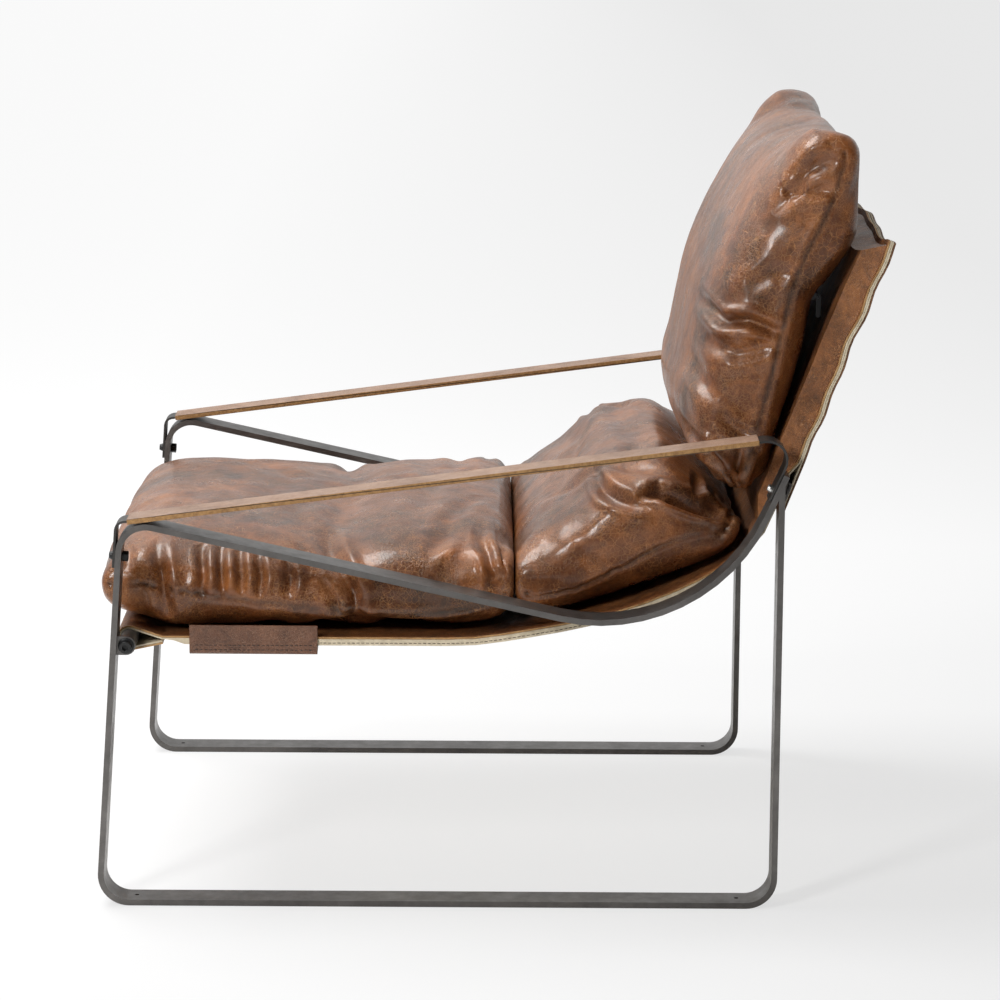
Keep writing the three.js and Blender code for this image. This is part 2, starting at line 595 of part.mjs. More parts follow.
// A sheet of cloth or leather that follows a path, between two distances to its left
function sheet(path, columns, from, to, standOff) {
  const rows = path.length;
  const cols = columns.length;
  const positions = [];
  [from, to].forEach((depth) => path.forEach((p) => columns.forEach((x) => {
    const left = depth + standOff(p, x);
    positions.push(x, p.y + p.ny * left, p.z + p.nz * left);
  })));
  const at = (layer, i, j) => layer * rows * cols + i * cols + j;
  const index = [];
  const quad = (a, b, c, d) => index.push(a, b, c, a, c, d);
  for (let i = 0; i < rows - 1; i += 1) {
    for (let j = 0; j < cols - 1; j += 1) {
      quad(at(1, i, j), at(1, i, j + 1), at(1, i + 1, j + 1), at(1, i + 1, j));
      quad(at(0, i, j), at(0, i + 1, j), at(0, i + 1, j + 1), at(0, i, j + 1));
    }
    quad(at(0, i, 0), at(1, i, 0), at(1, i + 1, 0), at(0, i + 1, 0));
    quad(at(0, i, cols - 1), at(0, i + 1, cols - 1), at(1, i + 1, cols - 1), at(1, i, cols - 1));
  }
  for (let j = 0; j < cols - 1; j += 1) {
    quad(at(0, 0, j), at(0, 0, j + 1), at(1, 0, j + 1), at(1, 0, j));
    quad(at(0, rows - 1, j), at(1, rows - 1, j), at(1, rows - 1, j + 1), at(0, rows - 1, j + 1));
  }
  const geometry = new THREE.BufferGeometry();
  geometry.setAttribute('position', new THREE.Float32BufferAttribute(positions, 3));
  geometry.setIndex(index);
  return geometry;
}

const LEATHER_FROM = CANVAS_THICK + SEAT_GAP;
const LEATHER_TO = LEATHER_FROM + LEATHER_THICK;

const slingCanvas = () => sheet(slingPath(), sheetColumns(), 0, CANVAS_THICK, pocketStandOff);
const slingLeather = () => sheet(slingPath(), sheetColumns(), LEATHER_FROM, LEATHER_TO, pocketStandOff);

function backPanel(from, to) {
  const path = withNormals([
    atHeight(pocketLine, SLING_POCKET_Z - BAR_THICK), atHeight(pocketLine, SLING_TOP_Z)]);
  return sheet(path, [-SLING_HALF_WIDTH, SLING_HALF_WIDTH], from, to, () => 0);
}

// A leather band round the underside of the sling holds the seat cushion down
function retainingBand() {
  const outerX = SLING_HALF_WIDTH + SEAT_GAP + BAND_THICK;
  const innerX = SLING_HALF_WIDTH + SEAT_GAP;
  const top = SLING_SEAT_Z + LEATHER_TO + BAND_RISE;
  const low = top - BAND_SIDE_HEIGHT - BAND_THICK * 2;
  const under = SLING_SEAT_Z - 2 * BAND_THICK;
  const touchX = SLING_HALF_WIDTH - BAND_SLANT;
  const right = [[outerX, top], [outerX, low], [outerX - BAND_THICK, low - BAND_THICK], [touchX, under],
    [-touchX, under], [-outerX + BAND_THICK, low - BAND_THICK], [-outerX, low], [-outerX, top],
    [-innerX, top], [-innerX, low], [-touchX, under + BAND_THICK], [touchX, under + BAND_THICK],
    [innerX, low], [innerX, top]];
  const shape = new THREE.Shape(right.map(([x, z]) => new THREE.Vector2(x, z)));
  const toFront = new THREE.Matrix4().makeBasis(
    new THREE.Vector3(1, 0, 0), new THREE.Vector3(0, 0, 1), new THREE.Vector3(0, -1, 0));
  return new THREE.ExtrudeGeometry(shape, { depth: BAND_REAR_Y - BAND_FRONT_Y, bevelEnabled: false })
    .applyMatrix4(toFront).translate(0, BAND_REAR_Y, 0);
}

// Cushions: an upper and a lower line of the side view share both tips, and the section
// between them is a full, rounded one from side to side
const FULLNESS = { upper: 3, lower: 5, rear: 9 };

const placed = (shares, origin, size) => shares.map(([u, v]) => (
  new THREE.Vector2(origin.y + u * size.y, origin.z + v * size.z)));

// The top face of the sling, lifted by the cushion's clearance, at evenly spaced depths
function slingTop(fromY, toY, count, lift) {
  const faces = slingPath().slice(SLING_LOOP_STEPS + 2).map((p) => {
    const left = LEATHER_TO + lift + pocketStandOff(p, 0);
    return new THREE.Vector2(p.y + p.ny * left, p.z + p.nz * left);
  });
  return Array.from({ length: count }, (_, k) => {
    const y = THREE.MathUtils.lerp(fromY, toY, k / (count - 1));
    const i = faces.findIndex((p, n) => n > 0 && p.x >= y);
    const share = (y - faces[i - 1].x) / (faces[i].x - faces[i - 1].x);
    return faces[i - 1].clone().lerp(faces[i], share);
  });
}

function tipPair(y, z) {
  const half = CUSHION_TIP_HEIGHT / 2;
  return { over: new THREE.Vector2(y, z + half), under: new THREE.Vector2(y, z - half) };
}

const seatUpperShares = [[0.004, 0.2], [0.03, 0.62], [0.1, 0.9], [0.2, 0.96], [0.33, 0.91], [0.45, 0.89],
  [0.58, 0.74], [0.7, 0.94], [0.84, 0.96], [0.94, 1], [0.985, 0.9], [0.998, 0.35]];
const seatNoseShares = [[0.005, 0.62], [0.02, 0.9]];

function seatForm() {
  const front = tipPair(SEAT_FRONT_Y, SEAT_NOSE_Z);
  const rear = tipPair(SEAT_REAR_Y, SEAT_NOSE_Z + CUSHION_TIP_HEIGHT);
  const above = { y: SEAT_DEPTH, z: SEAT_CROWN_Z - SEAT_NOSE_Z };
  const loopTop = RAIL_Z + SLING_LOOP_R + LEATHER_TO + 2 * CUSHION_GAP;
  const below = { y: SEAT_DEPTH, z: loopTop - SEAT_NOSE_Z };
  const origin = { y: SEAT_FRONT_Y, z: SEAT_NOSE_Z };
  const overLoop = [-1, 0, 1].map((way) => new THREE.Vector2(RAIL_Y + way * SLING_LOOP_R, loopTop));
  return {
    upper: [front.over, ...placed(seatUpperShares, origin, above), rear.over],
    lower: [front.under, ...placed(seatNoseShares, origin, below), ...overLoop,
      ...slingTop(
        SLING_SEAM_Y + BAR_THICK, SEAT_REAR_Y - 2 * CUSHION_TIP_HEIGHT, SLING_SAMPLES, 2 * CUSHION_GAP),
      new THREE.Vector2(SEAT_REAR_Y - CUSHION_TIP_HEIGHT / 4, SLING_SEAT_Z + 3 * CUSHION_TIP_HEIGHT),
      rear.under],
    halfWidth: SEAT_HALF_WIDTH, lowerFullness: FULLNESS.lower,
  };
}

const lumbarUpperShares = [[0.004, 0.13], [0.03, 0.22], [0.14, 0.42], [0.28, 0.67], [0.4, 0.91], [0.52, 0.98],
  [0.6, 0.99], [0.67, 1], [0.77, 0.82], [0.885, 0.62], [0.97, 0.46]];

function lumbarForm() {
  const frontY = SEAT_REAR_Y + CUSHION_GAP;
  const tipZ = SEAT_NOSE_Z + CUSHION_TIP_HEIGHT;
  const front = tipPair(frontY, tipZ);
  const rear = tipPair(LUMBAR_REAR_Y, SLING_POCKET_Z - 2 * CUSHION_TIP_HEIGHT);
  const size = { y: LUMBAR_REAR_Y - frontY, z: LUMBAR_CROWN_Z - tipZ };
  return {
    upper: [front.over, ...placed(lumbarUpperShares, { y: frontY, z: tipZ }, size), rear.over],
    lower: [front.under,
      new THREE.Vector2(frontY + CUSHION_TIP_HEIGHT / 4, SLING_SEAT_Z + 4 * CUSHION_TIP_HEIGHT),
      ...slingTop(frontY + 2 * CUSHION_TIP_HEIGHT, LUMBAR_REAR_Y - 2 * CUSHION_TIP_HEIGHT,
        SLING_SAMPLES, 2 * CUSHION_GAP), rear.under],
    halfWidth: LUMBAR_HALF_WIDTH, lowerFullness: FULLNESS.lower,
  };
}

const pillowFootShares = [[0.62, 0.055], [0.14, 0.135], [0.0, 0.24]];
const pillowFaceShares = [
  [0.06, 0.33], [0.1, 0.43], [0.16, 0.56], [0.33, 0.75], [0.58, 0.92], [0.81, 0.985]];
const pillowLowerRearShares = [[0.03, 0.3], [0.09, 0.0], [0.2, 0.22], [0.36, 0.6], [0.48, 1.0]];
const pillowUpperRearShares = [
  [0.64, 0.7], [0.7, 0.15], [0.77, 0.4], [0.86, 1.35], [0.94, 2.0], [0.985, 2.9]];
const pillowFaceLine = shifted(pocketLine, HOOP_OFFSET + HOOP_D / 2 + SEAT_GAP + LEATHER_TO + CUSHION_GAP);

function pillowForm() {
  const height = PILLOW_TOP_Z - PILLOW_FOOT_Z;
  const origin = { y: PILLOW_FRONT_Y, z: PILLOW_FOOT_Z };
  const bottom = { over: new THREE.Vector2(PILLOW_FOOT_Y, PILLOW_FOOT_Z),
    under: new THREE.Vector2(PILLOW_FOOT_Y + CUSHION_TIP_HEIGHT, PILLOW_FOOT_Z - CUSHION_TIP_HEIGHT / 3) };
  const top = { over: new THREE.Vector2(PILLOW_TOP_Y, PILLOW_TOP_Z),
    under: new THREE.Vector2(PILLOW_TOP_Y + CUSHION_TIP_HEIGHT, PILLOW_TOP_Z - CUSHION_TIP_HEIGHT / 2) };
  const front = [
    ...placed(pillowFootShares, origin, { y: PILLOW_FOOT_Y - PILLOW_FRONT_Y, z: height }),
    ...placed(pillowFaceShares, origin, { y: PILLOW_TOP_Y - PILLOW_FRONT_Y, z: height }),
  ];
  const groove = [(ZIP_Z - PILLOW_FOOT_Z) / height, ZIP_GROOVE_DEPTH / PILLOW_BACK_SWELL];
  const rear = [...pillowLowerRearShares, groove, ...pillowUpperRearShares].map(([v, off]) => {
    const point = atHeight(shifted(pillowFaceLine, off * PILLOW_BACK_SWELL), PILLOW_FOOT_Z + v * height);
    return new THREE.Vector2(point.y, point.z);
  });
  return {
    upper: [bottom.over, ...front, top.over], lower: [bottom.under, ...rear, top.under],
    halfWidth: PILLOW_HALF_WIDTH, lowerFullness: FULLNESS.rear, earRise: PILLOW_EAR_RISE,
  };
}

// A point of a cushion: t runs from tip to tip, across is -1 to 1, lift is -1 below to 1 above
function formStation(form, t) {
  const over = form.upperCurve.getPointAt(t);
  const under = form.lowerCurve.getPointAt(t);
  const mid = over.clone().add(under).multiplyScalar(0.5);
  const half = over.clone().sub(under).multiplyScalar(0.5);
  const nearTip = Math.min(t, 1 - t) * form.upperCurve.getLength();
  const missing = Math.max(0, 1 - nearTip / CUSHION_CORNER_RADIUS);
  const width = form.halfWidth - CUSHION_CORNER_DRAW * (1 - Math.sqrt(1 - missing * missing));
  return { mid, half, width };
}

function cushionSurface(form, inset, tipRings = 0) {
  form.upperCurve = new THREE.SplineCurve(form.upper);
  form.lowerCurve = new THREE.SplineCurve(form.lower);
  const positions = [];
  const length = form.upperCurve.getLength();
  const end = inset / length;
  for (let i = tipRings; i < CUSHION_STATIONS - tipRings; i += 1) {
    const even = i / (CUSHION_STATIONS - 1);
    const eased = (1 - Math.cos(Math.PI * even)) / 2;
    const t = THREE.MathUtils.clamp((even + eased) / 2, end, 1 - end);
    const { mid, half, width } = formStation(form, t);
    const reach = half.length();
    const scale = Math.max(reach - inset, reach * INSET_REACH_SHARE) / reach;
    for (let k = 0; k < CUSHION_AROUND; k += 1) {
      const angle = 2 * Math.PI * k / CUSHION_AROUND;
      const n = Math.sin(angle) >= 0 ? FULLNESS.upper : form.lowerFullness;
      const across = Math.sign(Math.cos(angle)) * Math.abs(Math.cos(angle)) ** (2 / n);
      const lift = Math.sign(Math.sin(angle)) * Math.abs(Math.sin(angle)) ** (2 / n);
      const ear = (form.earRise ?? 0) * past(Math.abs(across), EAR_ACROSS_SHARE) * past(t, EAR_ALONG_SHARE);
      positions.push(across * (width - inset), mid.x + half.x * lift * scale,
        mid.y + half.y * lift * scale + ear);
    }
  }
  return closedRings(positions, CUSHION_STATIONS - 2 * tipRings, CUSHION_AROUND);
}

// Skins a stack of rings and closes both end rings
function closedRings(positions, rings, around) {
  const index = [];
  const quad = (a, b, c, d) => index.push(a, b, c, a, c, d);
  const at = (i, k) => i * around + (k + around) % around;
  for (let i = 0; i < rings - 1; i += 1) {
    for (let k = 0; k < around; k += 1) quad(at(i, k), at(i + 1, k), at(i + 1, k + 1), at(i, k + 1));
  }
  for (let k = 0; k < around / 2; k += 1) {
    const last = rings - 1;
    if (k === 0) {
      index.push(at(0, 0), at(0, 1), at(0, -1), at(last, 0), at(last, -1), at(last, 1));
    } else if (k === around / 2 - 1) {
      index.push(at(0, k), at(0, k + 1), at(0, -k), at(last, k), at(last, -k), at(last, k + 1));
    } else {
      quad(at(0, k), at(0, k + 1), at(0, -k - 1), at(0, -k));
      quad(at(last, k), at(last, -k), at(last, -k - 1), at(last, k + 1));
    }
  }
  const geometry = new THREE.BufferGeometry();
  geometry.setAttribute('position', new THREE.Float32BufferAttribute(positions, 3));
  geometry.setIndex(index);
  return facingOut(geometry);
}

function facingOut(geometry) {
  const p = geometry.attributes.position;
  const corner = (i) => new THREE.Vector3().fromBufferAttribute(p, geometry.index.getX(i));
  let volume = 0;
  for (let i = 0; i < geometry.index.count; i += 3) {
    volume += corner(i).dot(corner(i + 1).cross(corner(i + 2)));
  }
  if (volume > 0) return geometry;
  const index = Array.from(geometry.index.array);
  for (let i = 0; i < index.length; i += 3) [index[i], index[i + 1]] = [index[i + 1], index[i]];
  return geometry.setIndex(index);
}

// The zip lies straight in a groove across the back of the pillow
const zipLine = shifted(pillowFaceLine, ZIP_GROOVE_DEPTH + ZIP_SINK);
const zipCentre = atHeight(zipLine, ZIP_Z);
const ZIP_VIEW = new THREE.Matrix4().makeBasis(new THREE.Vector3(1, 0, 0),
  new THREE.Vector3(0, zipLine.dz, -zipLine.dy), new THREE.Vector3(0, zipLine.dy, zipLine.dz))
  .setPosition(0, zipCentre.y, zipCentre.z);

// A bar along the zip: depths count outwards from the face of the tape
function zipBar(length, height, from, to) {
  return new THREE.BoxGeometry(length, to - from, height).translate(0, (from + to) / 2, 0)
    .applyMatrix4(ZIP_VIEW);
}

function pillowCover() {
  const form = pillowForm();
  const slotHeight = ZIP_TAPE_HEIGHT + 2 * SEAT_GAP;
  const slot = zipBar(ZIP_LENGTH + 2 * SEAT_GAP, slotHeight, -ZIP_SLOT_DEPTH, ZIP_SLOT_DEPTH);
  return cut(cushionSurface(form, 0), cushionSurface(form, PILLOW_COVER_THICK, COVER_TIP_RINGS), slot);
}

function pillowInsert() {
  const form = pillowForm();
  const room = zipBar(ZIP_LENGTH + CUSHION_TIP_HEIGHT, ZIP_TAPE_HEIGHT + CUSHION_TIP_HEIGHT,
    -ZIP_TAPE_THICK - SEAT_GAP, ZIP_SLOT_DEPTH);
  return cut(cushionSurface(form, PILLOW_COVER_THICK + SEAT_GAP, INSERT_TIP_RINGS), room);
}

const zipTape = () => zipBar(ZIP_LENGTH, ZIP_TAPE_HEIGHT, -ZIP_TAPE_THICK, 0);

const SLIDER_X = (ZIP_LENGTH - SLIDER_LENGTH) / 2 - SLIDER_END_GAP;
const SLIDER_FACE = SEAT_GAP + SLIDER_THICK;

// The slider plate with the bail that its pull hangs from
function zipSlider() {
  const plate = new THREE.BoxGeometry(SLIDER_LENGTH, SLIDER_THICK, SLIDER_HEIGHT)
    .translate(0, SLIDER_FACE - SLIDER_THICK / 2, 0);
  const foot = SLIDER_FACE - BAIL_WIRE / 2;
  const crest = SLIDER_FACE + BAIL_RISE + BAIL_WIRE / 2;
  const half = BAIL_LENGTH / 2;
  const arch = new THREE.Shape([[-half, foot], [half, foot], [half, crest], [-half, crest]].map(
    ([x, y]) => new THREE.Vector2(x, y)));
  const opening = new THREE.Shape([[-1, foot - BAIL_WIRE], [1, foot - BAIL_WIRE], [1, crest - BAIL_WIRE],
    [-1, crest - BAIL_WIRE]].map(([side, y]) => new THREE.Vector2(side * (half - BAIL_WIRE), y)));
  const solidArch = new THREE.ExtrudeGeometry(arch, { depth: BAIL_WIRE, bevelEnabled: false })
    .translate(0, 0, -BAIL_WIRE / 2);
  const clear = new THREE.ExtrudeGeometry(opening, { depth: BAIL_WIRE + CUT_OVERRUN, bevelEnabled: false })
    .translate(0, 0, -(BAIL_WIRE + CUT_OVERRUN) / 2);
  return joined(plate, cut(solidArch, clear)).applyMatrix4(ZIP_VIEW).translate(SLIDER_X, 0, 0);
}

// The pull hangs straight down from the bail
function zipPull() {
  const pivot = new THREE.Vector3(SLIDER_X, SLIDER_FACE + BAIL_RISE, 0).applyMatrix4(ZIP_VIEW);
  const half = PULL_WIDTH / 2;
  const tab = new THREE.Shape().absarc(0, 0, half, 0, Math.PI)
    .lineTo(-half, half - PULL_LENGTH).absarc(0, half - PULL_LENGTH, half, Math.PI, 2 * Math.PI);
  const outline = new THREE.Shape(tab.getPoints(CORNER_STEPS));
  outline.holes.push(new THREE.Path().absarc(0, 0, PULL_EYE_D / 2, 0, 2 * Math.PI, true));
  const geometry = new THREE.ExtrudeGeometry(outline, {
    depth: PULL_THICK, bevelEnabled: false, curveSegments: CORNER_STEPS,
  });
  return geometry.applyMatrix4(SIDE_VIEW).translate(pivot.x - PULL_THICK / 2, pivot.y, pivot.z);
}

forBothSides((name, side) => {
  addPiece(`${name}_side_frame`, mirrored(sideFrame(), side), GUNMETAL);
  addPiece(`${name}_arm_strap`, mirrored(armStrap(), side), DARK_STRAP);
  addPiece(`${name}_arm_sleeve`, mirrored(armSleeve(), side), TAN_EDGE);
  addPiece(`${name}_front_hook_bolt`, mirrored(hookBolt(frontHookAxis, -BAR_THICK - HOOK_NUT_HEIGHT), side),
    BLACK_STEEL);
  addPiece(`${name}_front_hook_nut`, mirrored(hookNut(), side), BLACK_STEEL);
  addPiece(`${name}_rear_hook_bolt`, mirrored(hookBolt(rearHookAxis, -BAR_THICK), side), BRIGHT_STEEL);
  addPiece(`${name}_rail_plug`, mirrored(railPlug(), side), BLACK_STEEL);
  addPiece(`${name}_rail_screw`, mirrored(railScrew(), side), BLACK_STEEL);
  addPiece(`${name}_rail_washer`, mirrored(railWasher(), side), BLACK_STEEL);
});
addPiece('front_rail', frontRail(), GUNMETAL);
addPiece('rear_cross_bar', crossBar(), GUNMETAL);
addPiece('back_hoop', backHoop(), GUNMETAL);
addPiece('sling_canvas', slingCanvas(), CANVAS);
addPiece('sling_leather', slingLeather(), COGNAC);
addPiece('back_panel_canvas', backPanel(-CANVAS_THICK, 0), CANVAS);
addPiece('back_panel_leather',
  backPanel(-CANVAS_THICK - SEAT_GAP - LEATHER_THICK, -CANVAS_THICK - SEAT_GAP), COGNAC);
addPiece('retaining_band', retainingBand(), COGNAC);
addPiece('seat_cushion', cushionSurface(seatForm(), 0), COGNAC);
addPiece('lumbar_cushion', cushionSurface(lumbarForm(), 0), COGNAC);
addPiece('back_cushion_cover', pillowCover(), COGNAC);
addPiece('back_cushion_insert', pillowInsert(), FILLING);
addPiece('back_zip_tape', zipTape(), ZIP_BLACK);
addPiece('zip_slider', zipSlider(), ZIP_BLACK);
addPiece('zip_pull', zipPull(), ZIP_BLACK);

export default chair;
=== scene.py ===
"""Dresses the leather sling lounge chair: cushions, the sling with its raw edges, stitches and finishes.

Lengths in tables and paths are in millimetres, and in meshes and the frame in metres. A named length is in
millimetres, unless it is multiplied by MM or its comment says metres.
"""

import math

import bmesh
import bpy
import numpy as np
from mathutils import Matrix, Vector
from mathutils.bvhtree import BVHTree
from mathutils.kdtree import KDTree


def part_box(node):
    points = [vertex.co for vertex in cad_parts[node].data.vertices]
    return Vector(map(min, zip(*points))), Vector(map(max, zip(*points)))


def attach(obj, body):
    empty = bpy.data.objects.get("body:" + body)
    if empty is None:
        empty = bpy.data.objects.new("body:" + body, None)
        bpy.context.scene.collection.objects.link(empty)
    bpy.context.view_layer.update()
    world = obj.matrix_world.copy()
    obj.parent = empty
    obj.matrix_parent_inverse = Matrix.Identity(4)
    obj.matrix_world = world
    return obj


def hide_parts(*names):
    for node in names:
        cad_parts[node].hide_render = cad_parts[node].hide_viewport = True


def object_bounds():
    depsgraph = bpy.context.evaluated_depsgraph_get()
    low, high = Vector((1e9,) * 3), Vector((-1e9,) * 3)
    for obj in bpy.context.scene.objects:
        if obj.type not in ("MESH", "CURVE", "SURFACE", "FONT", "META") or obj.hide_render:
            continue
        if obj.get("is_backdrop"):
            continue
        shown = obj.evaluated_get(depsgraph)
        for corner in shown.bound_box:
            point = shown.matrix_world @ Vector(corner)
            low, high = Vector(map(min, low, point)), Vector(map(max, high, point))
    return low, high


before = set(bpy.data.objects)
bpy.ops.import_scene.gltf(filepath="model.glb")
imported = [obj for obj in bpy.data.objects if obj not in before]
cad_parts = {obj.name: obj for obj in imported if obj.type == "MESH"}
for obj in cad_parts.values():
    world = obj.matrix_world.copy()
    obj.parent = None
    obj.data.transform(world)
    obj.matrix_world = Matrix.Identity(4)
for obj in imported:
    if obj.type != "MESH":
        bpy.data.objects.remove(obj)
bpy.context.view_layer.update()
scene = bpy.context.scene
MM = 0.001
WELD = 0.02 * MM
SPLINE_STEPS = 24
# Less than any length here, and more than any
TINY, FAR_OFF = 1e-9, 1e9


# Small helpers
def ease(low, high, x):
    t = np.clip((np.asarray(x, float) - low) / (high - low), 0, 1)
    return t * t * (3 - 2 * t)


def run_of(path):
    """The length of a path up to each of its points."""
    return np.r_[0, np.cumsum(np.linalg.norm(np.diff(path, axis=0), axis=1))]


def spline(points):
    """A smooth line through points, as a function of the share of its length."""
    points = np.array(points, float)
    longer = np.vstack([2 * points[0] - points[1], points, 2 * points[-1] - points[-2]])
    t = np.linspace(0, 1, SPLINE_STEPS, endpoint=False)[:, None]
    parts = []
    for i in range(len(points) - 1):
        a, b, c, d = longer[i : i + 4]
        square = (2 * a - 5 * b + 4 * c - d) * t**2
        cube = (3 * b - a - 3 * c + d) * t**3
        parts.append(0.5 * (2 * b + (c - a) * t + square + cube))
    dense = np.vstack(parts + [points[-1:]])
    run = run_of(dense)

    def at(share):
        return np.stack([np.interp(np.asarray(share) * run[-1], run, column) for column in dense.T], -1)

    return at


def make(name, vertices, faces, material=None, smooth=True):
    mesh = bpy.data.meshes.new(name)
    mesh.from_pydata([tuple(v) for v in vertices], [], [tuple(f) for f in faces])
    mesh.update()
    obj = bpy.data.objects.new(name, mesh)
    scene.collection.objects.link(obj)
    if smooth:
        mesh.polygons.foreach_set("use_smooth", [True] * len(mesh.polygons))
    if material:
        mesh.materials.append(material)
    return obj


def coords(obj):
    co = np.zeros(len(obj.data.vertices) * 3)
    obj.data.vertices.foreach_get("co", co)
    return co.reshape(-1, 3)


def set_coords(obj, co):
    obj.data.vertices.foreach_set("co", co.astype(np.float32).ravel())
    obj.data.update()


def normals(obj):
    out = np.zeros(len(obj.data.vertices) * 3)
    obj.data.vertices.foreach_get("normal", out)
    return out.reshape(-1, 3)


def baked(obj):
    """The mesh of obj with its modifiers applied, in place."""
    graph = bpy.context.evaluated_depsgraph_get()
    mesh = bpy.data.meshes.new_from_object(obj.evaluated_get(graph))
    obj.modifiers.clear()
    obj.data = mesh
    mesh.polygons.foreach_set("use_smooth", [True] * len(mesh.polygons))
    return obj


def distance_to(co, path):
    """Distance from each point to a polyline, and the share of its length at the nearest point."""
    path = np.asarray(path, float)
    seg = np.linalg.norm(np.diff(path, axis=0), axis=1)
    total = max(seg.sum(), TINY)
    best = np.full(len(co), FAR_OFF)
    share = np.zeros(len(co))
    before = 0.0
    for a, b, length in zip(path[:-1], path[1:], seg):
        d = b - a
        t = np.clip(((co - a) @ d) / max(d @ d, 1e-12), 0, 1)
        gap = np.linalg.norm(co - (a + t[:, None] * d), axis=1)
        near = gap < best
        best[near] = gap[near]
        share[near] = ((before + t * length) / total)[near]
        before += length
    return best, share


def lumps(co, scale, seed, octaves=3, waves=5):
    """Smooth repeatable noise from sums of sines."""
    rng = np.random.default_rng(seed)
    out = np.zeros(len(co))
    for k in range(octaves):
        for _ in range(waves):
            way = rng.normal(size=3)
            way /= np.linalg.norm(way)
            out += np.sin(co @ way * scale * 2**k * (0.7 + 0.6 * rng.random()) + rng.random() * 7) / 2**k
    return out / (waves * 1.8)


# The photograph's camera, its eye in metres; it also carries places in the photograph onto the chair
YAW, PITCH, ROLL = (math.radians(angle) for angle in (0.314, 10.795, 0.416))
EYE = Vector((4.3403, -0.0165, 1.2032))
SENSOR, LENS = 36.0, 140.4
PHOTO_SIDE = 1000
forward = Vector((-math.cos(YAW) * math.cos(PITCH), math.sin(YAW) * math.cos(PITCH), -math.sin(PITCH)))
level = Vector((math.sin(YAW), math.cos(YAW), 0))
upright = level.cross(forward)
right = math.cos(ROLL) * level + math.sin(ROLL) * upright
up = -math.sin(ROLL) * level + math.cos(ROLL) * upright


def on_flank(pixels):
    """Photograph pixels as (y, z) millimetres on the plane of the seat's near flank."""
    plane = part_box("seat_cushion")[1].x
    focal = LENS / SENSOR * PHOTO_SIDE
    places = []
    for across, down in pixels:
        ray = forward + right * ((across - PHOTO_SIDE / 2) / focal) - up * ((down - PHOTO_SIDE / 2) / focal)
        hit = EYE + ray * ((plane - EYE.x) / ray.x)
        places.append((hit.y / MM, hit.z / MM))
    return np.array(places)


# Materials
class Look:
    """A small wrapper round a node material."""

    def __init__(self, name):
        self.material = bpy.data.materials.new(name)
        self.material.use_nodes = True
        self.tree = self.material.node_tree
        self.shader = self.tree.nodes["Principled BSDF"]
        self.place = self.node("ShaderNodeTexCoord").outputs["Object"]

    @classmethod
    def reopened(cls, material):
        """The same wrapper round a material that is already made."""
        look = cls.__new__(cls)
        look.material, look.tree = material, material.node_tree
        look.shader = look.tree.nodes["Principled BSDF"]
        look.place = look.node("ShaderNodeTexCoord").outputs["Object"]
        return look

    def node(self, kind, **settings):
        made = self.tree.nodes.new(kind)
        for key, value in settings.items():
            setattr(made, key, value)
        return made

    def link(self, a, b):
        self.tree.links.new(a, b)

    def noise(self, scale, detail=4, rough=0.55, distortion=0.0, vector=None):
        n = self.node("ShaderNodeTexNoise")
        n.inputs["Scale"].default_value = scale
        n.inputs["Detail"].default_value = detail
        n.inputs["Roughness"].default_value = rough
        n.inputs["Distortion"].default_value = distortion
        self.link(vector or self.place, n.inputs["Vector"])
        return n.outputs["Fac"]

    def ramp(self, value, *stops):
        r = self.node("ShaderNodeValToRGB")
        while len(r.color_ramp.elements) < len(stops):
            r.color_ramp.elements.new(0.5)
        for element, (at, colour) in zip(r.color_ramp.elements, stops):
            element.position = at
            element.color = (*colour, 1) if hasattr(colour, "__len__") else (colour, colour, colour, 1)
        self.link(value, r.inputs["Fac"])
        return r.outputs["Color"]

    def mix(self, factor, a, b, blend="MIX"):
        m = self.node("ShaderNodeMix", data_type="RGBA", blend_type=blend)
        for value, socket in ((factor, m.inputs["Factor"]), (a, m.inputs["A"]), (b, m.inputs["B"])):
            if isinstance(value, bpy.types.NodeSocket):
                self.link(value, socket)
            elif hasattr(value, "__len__"):
                socket.default_value = (*value, 1)
            else:
                socket.default_value = value
        return m.outputs["Result"]

    def math(self, operation, a, b=0.0):
        m = self.node("ShaderNodeMath", operation=operation)
        for value, socket in ((a, m.inputs[0]), (b, m.inputs[1])):
            if isinstance(value, bpy.types.NodeSocket):
                self.link(value, socket)
            else:
                socket.default_value = value
        return m.outputs[0]

    def attribute(self, name):
        return self.node("ShaderNodeAttribute", attribute_name=name).outputs["Fac"]

    def bump(self, height, strength, distance, under=None):
        b = self.node("ShaderNodeBump")
        b.inputs["Strength"].default_value = strength
        b.inputs["Distance"].default_value = distance
        self.link(height, b.inputs["Height"])
        if under:
            self.link(under, b.inputs["Normal"])
        return b.outputs["Normal"]

    def set(self, **sockets):
        for key, value in sockets.items():
            socket = self.shader.inputs[key.replace("_", " ")]
            if isinstance(value, bpy.types.NodeSocket):
                self.link(value, socket)
            elif hasattr(value, "__len__"):
                socket.default_value = (*value, 1)
            else:
                socket.default_value = value
        return self.material


# Shares of hide: how much of its mottling is broad, how dark its seams are
BROAD_SHARE, SEAM_SHARE = 0.62, 0.8
# How far the crackle wanders, and how deep the hide's waves, crackle and grain are, in metres
WANDER, WAVE_DEPTH, CRACKLE_DEPTH, GRAIN_DEPTH = 0.012, 0.0018, 0.0007, 0.0008
SHINE_LEVEL, SHINE_TINT, COAT_ROUGHNESS = 0.46, (1.0, 0.82, 0.66), 0.19


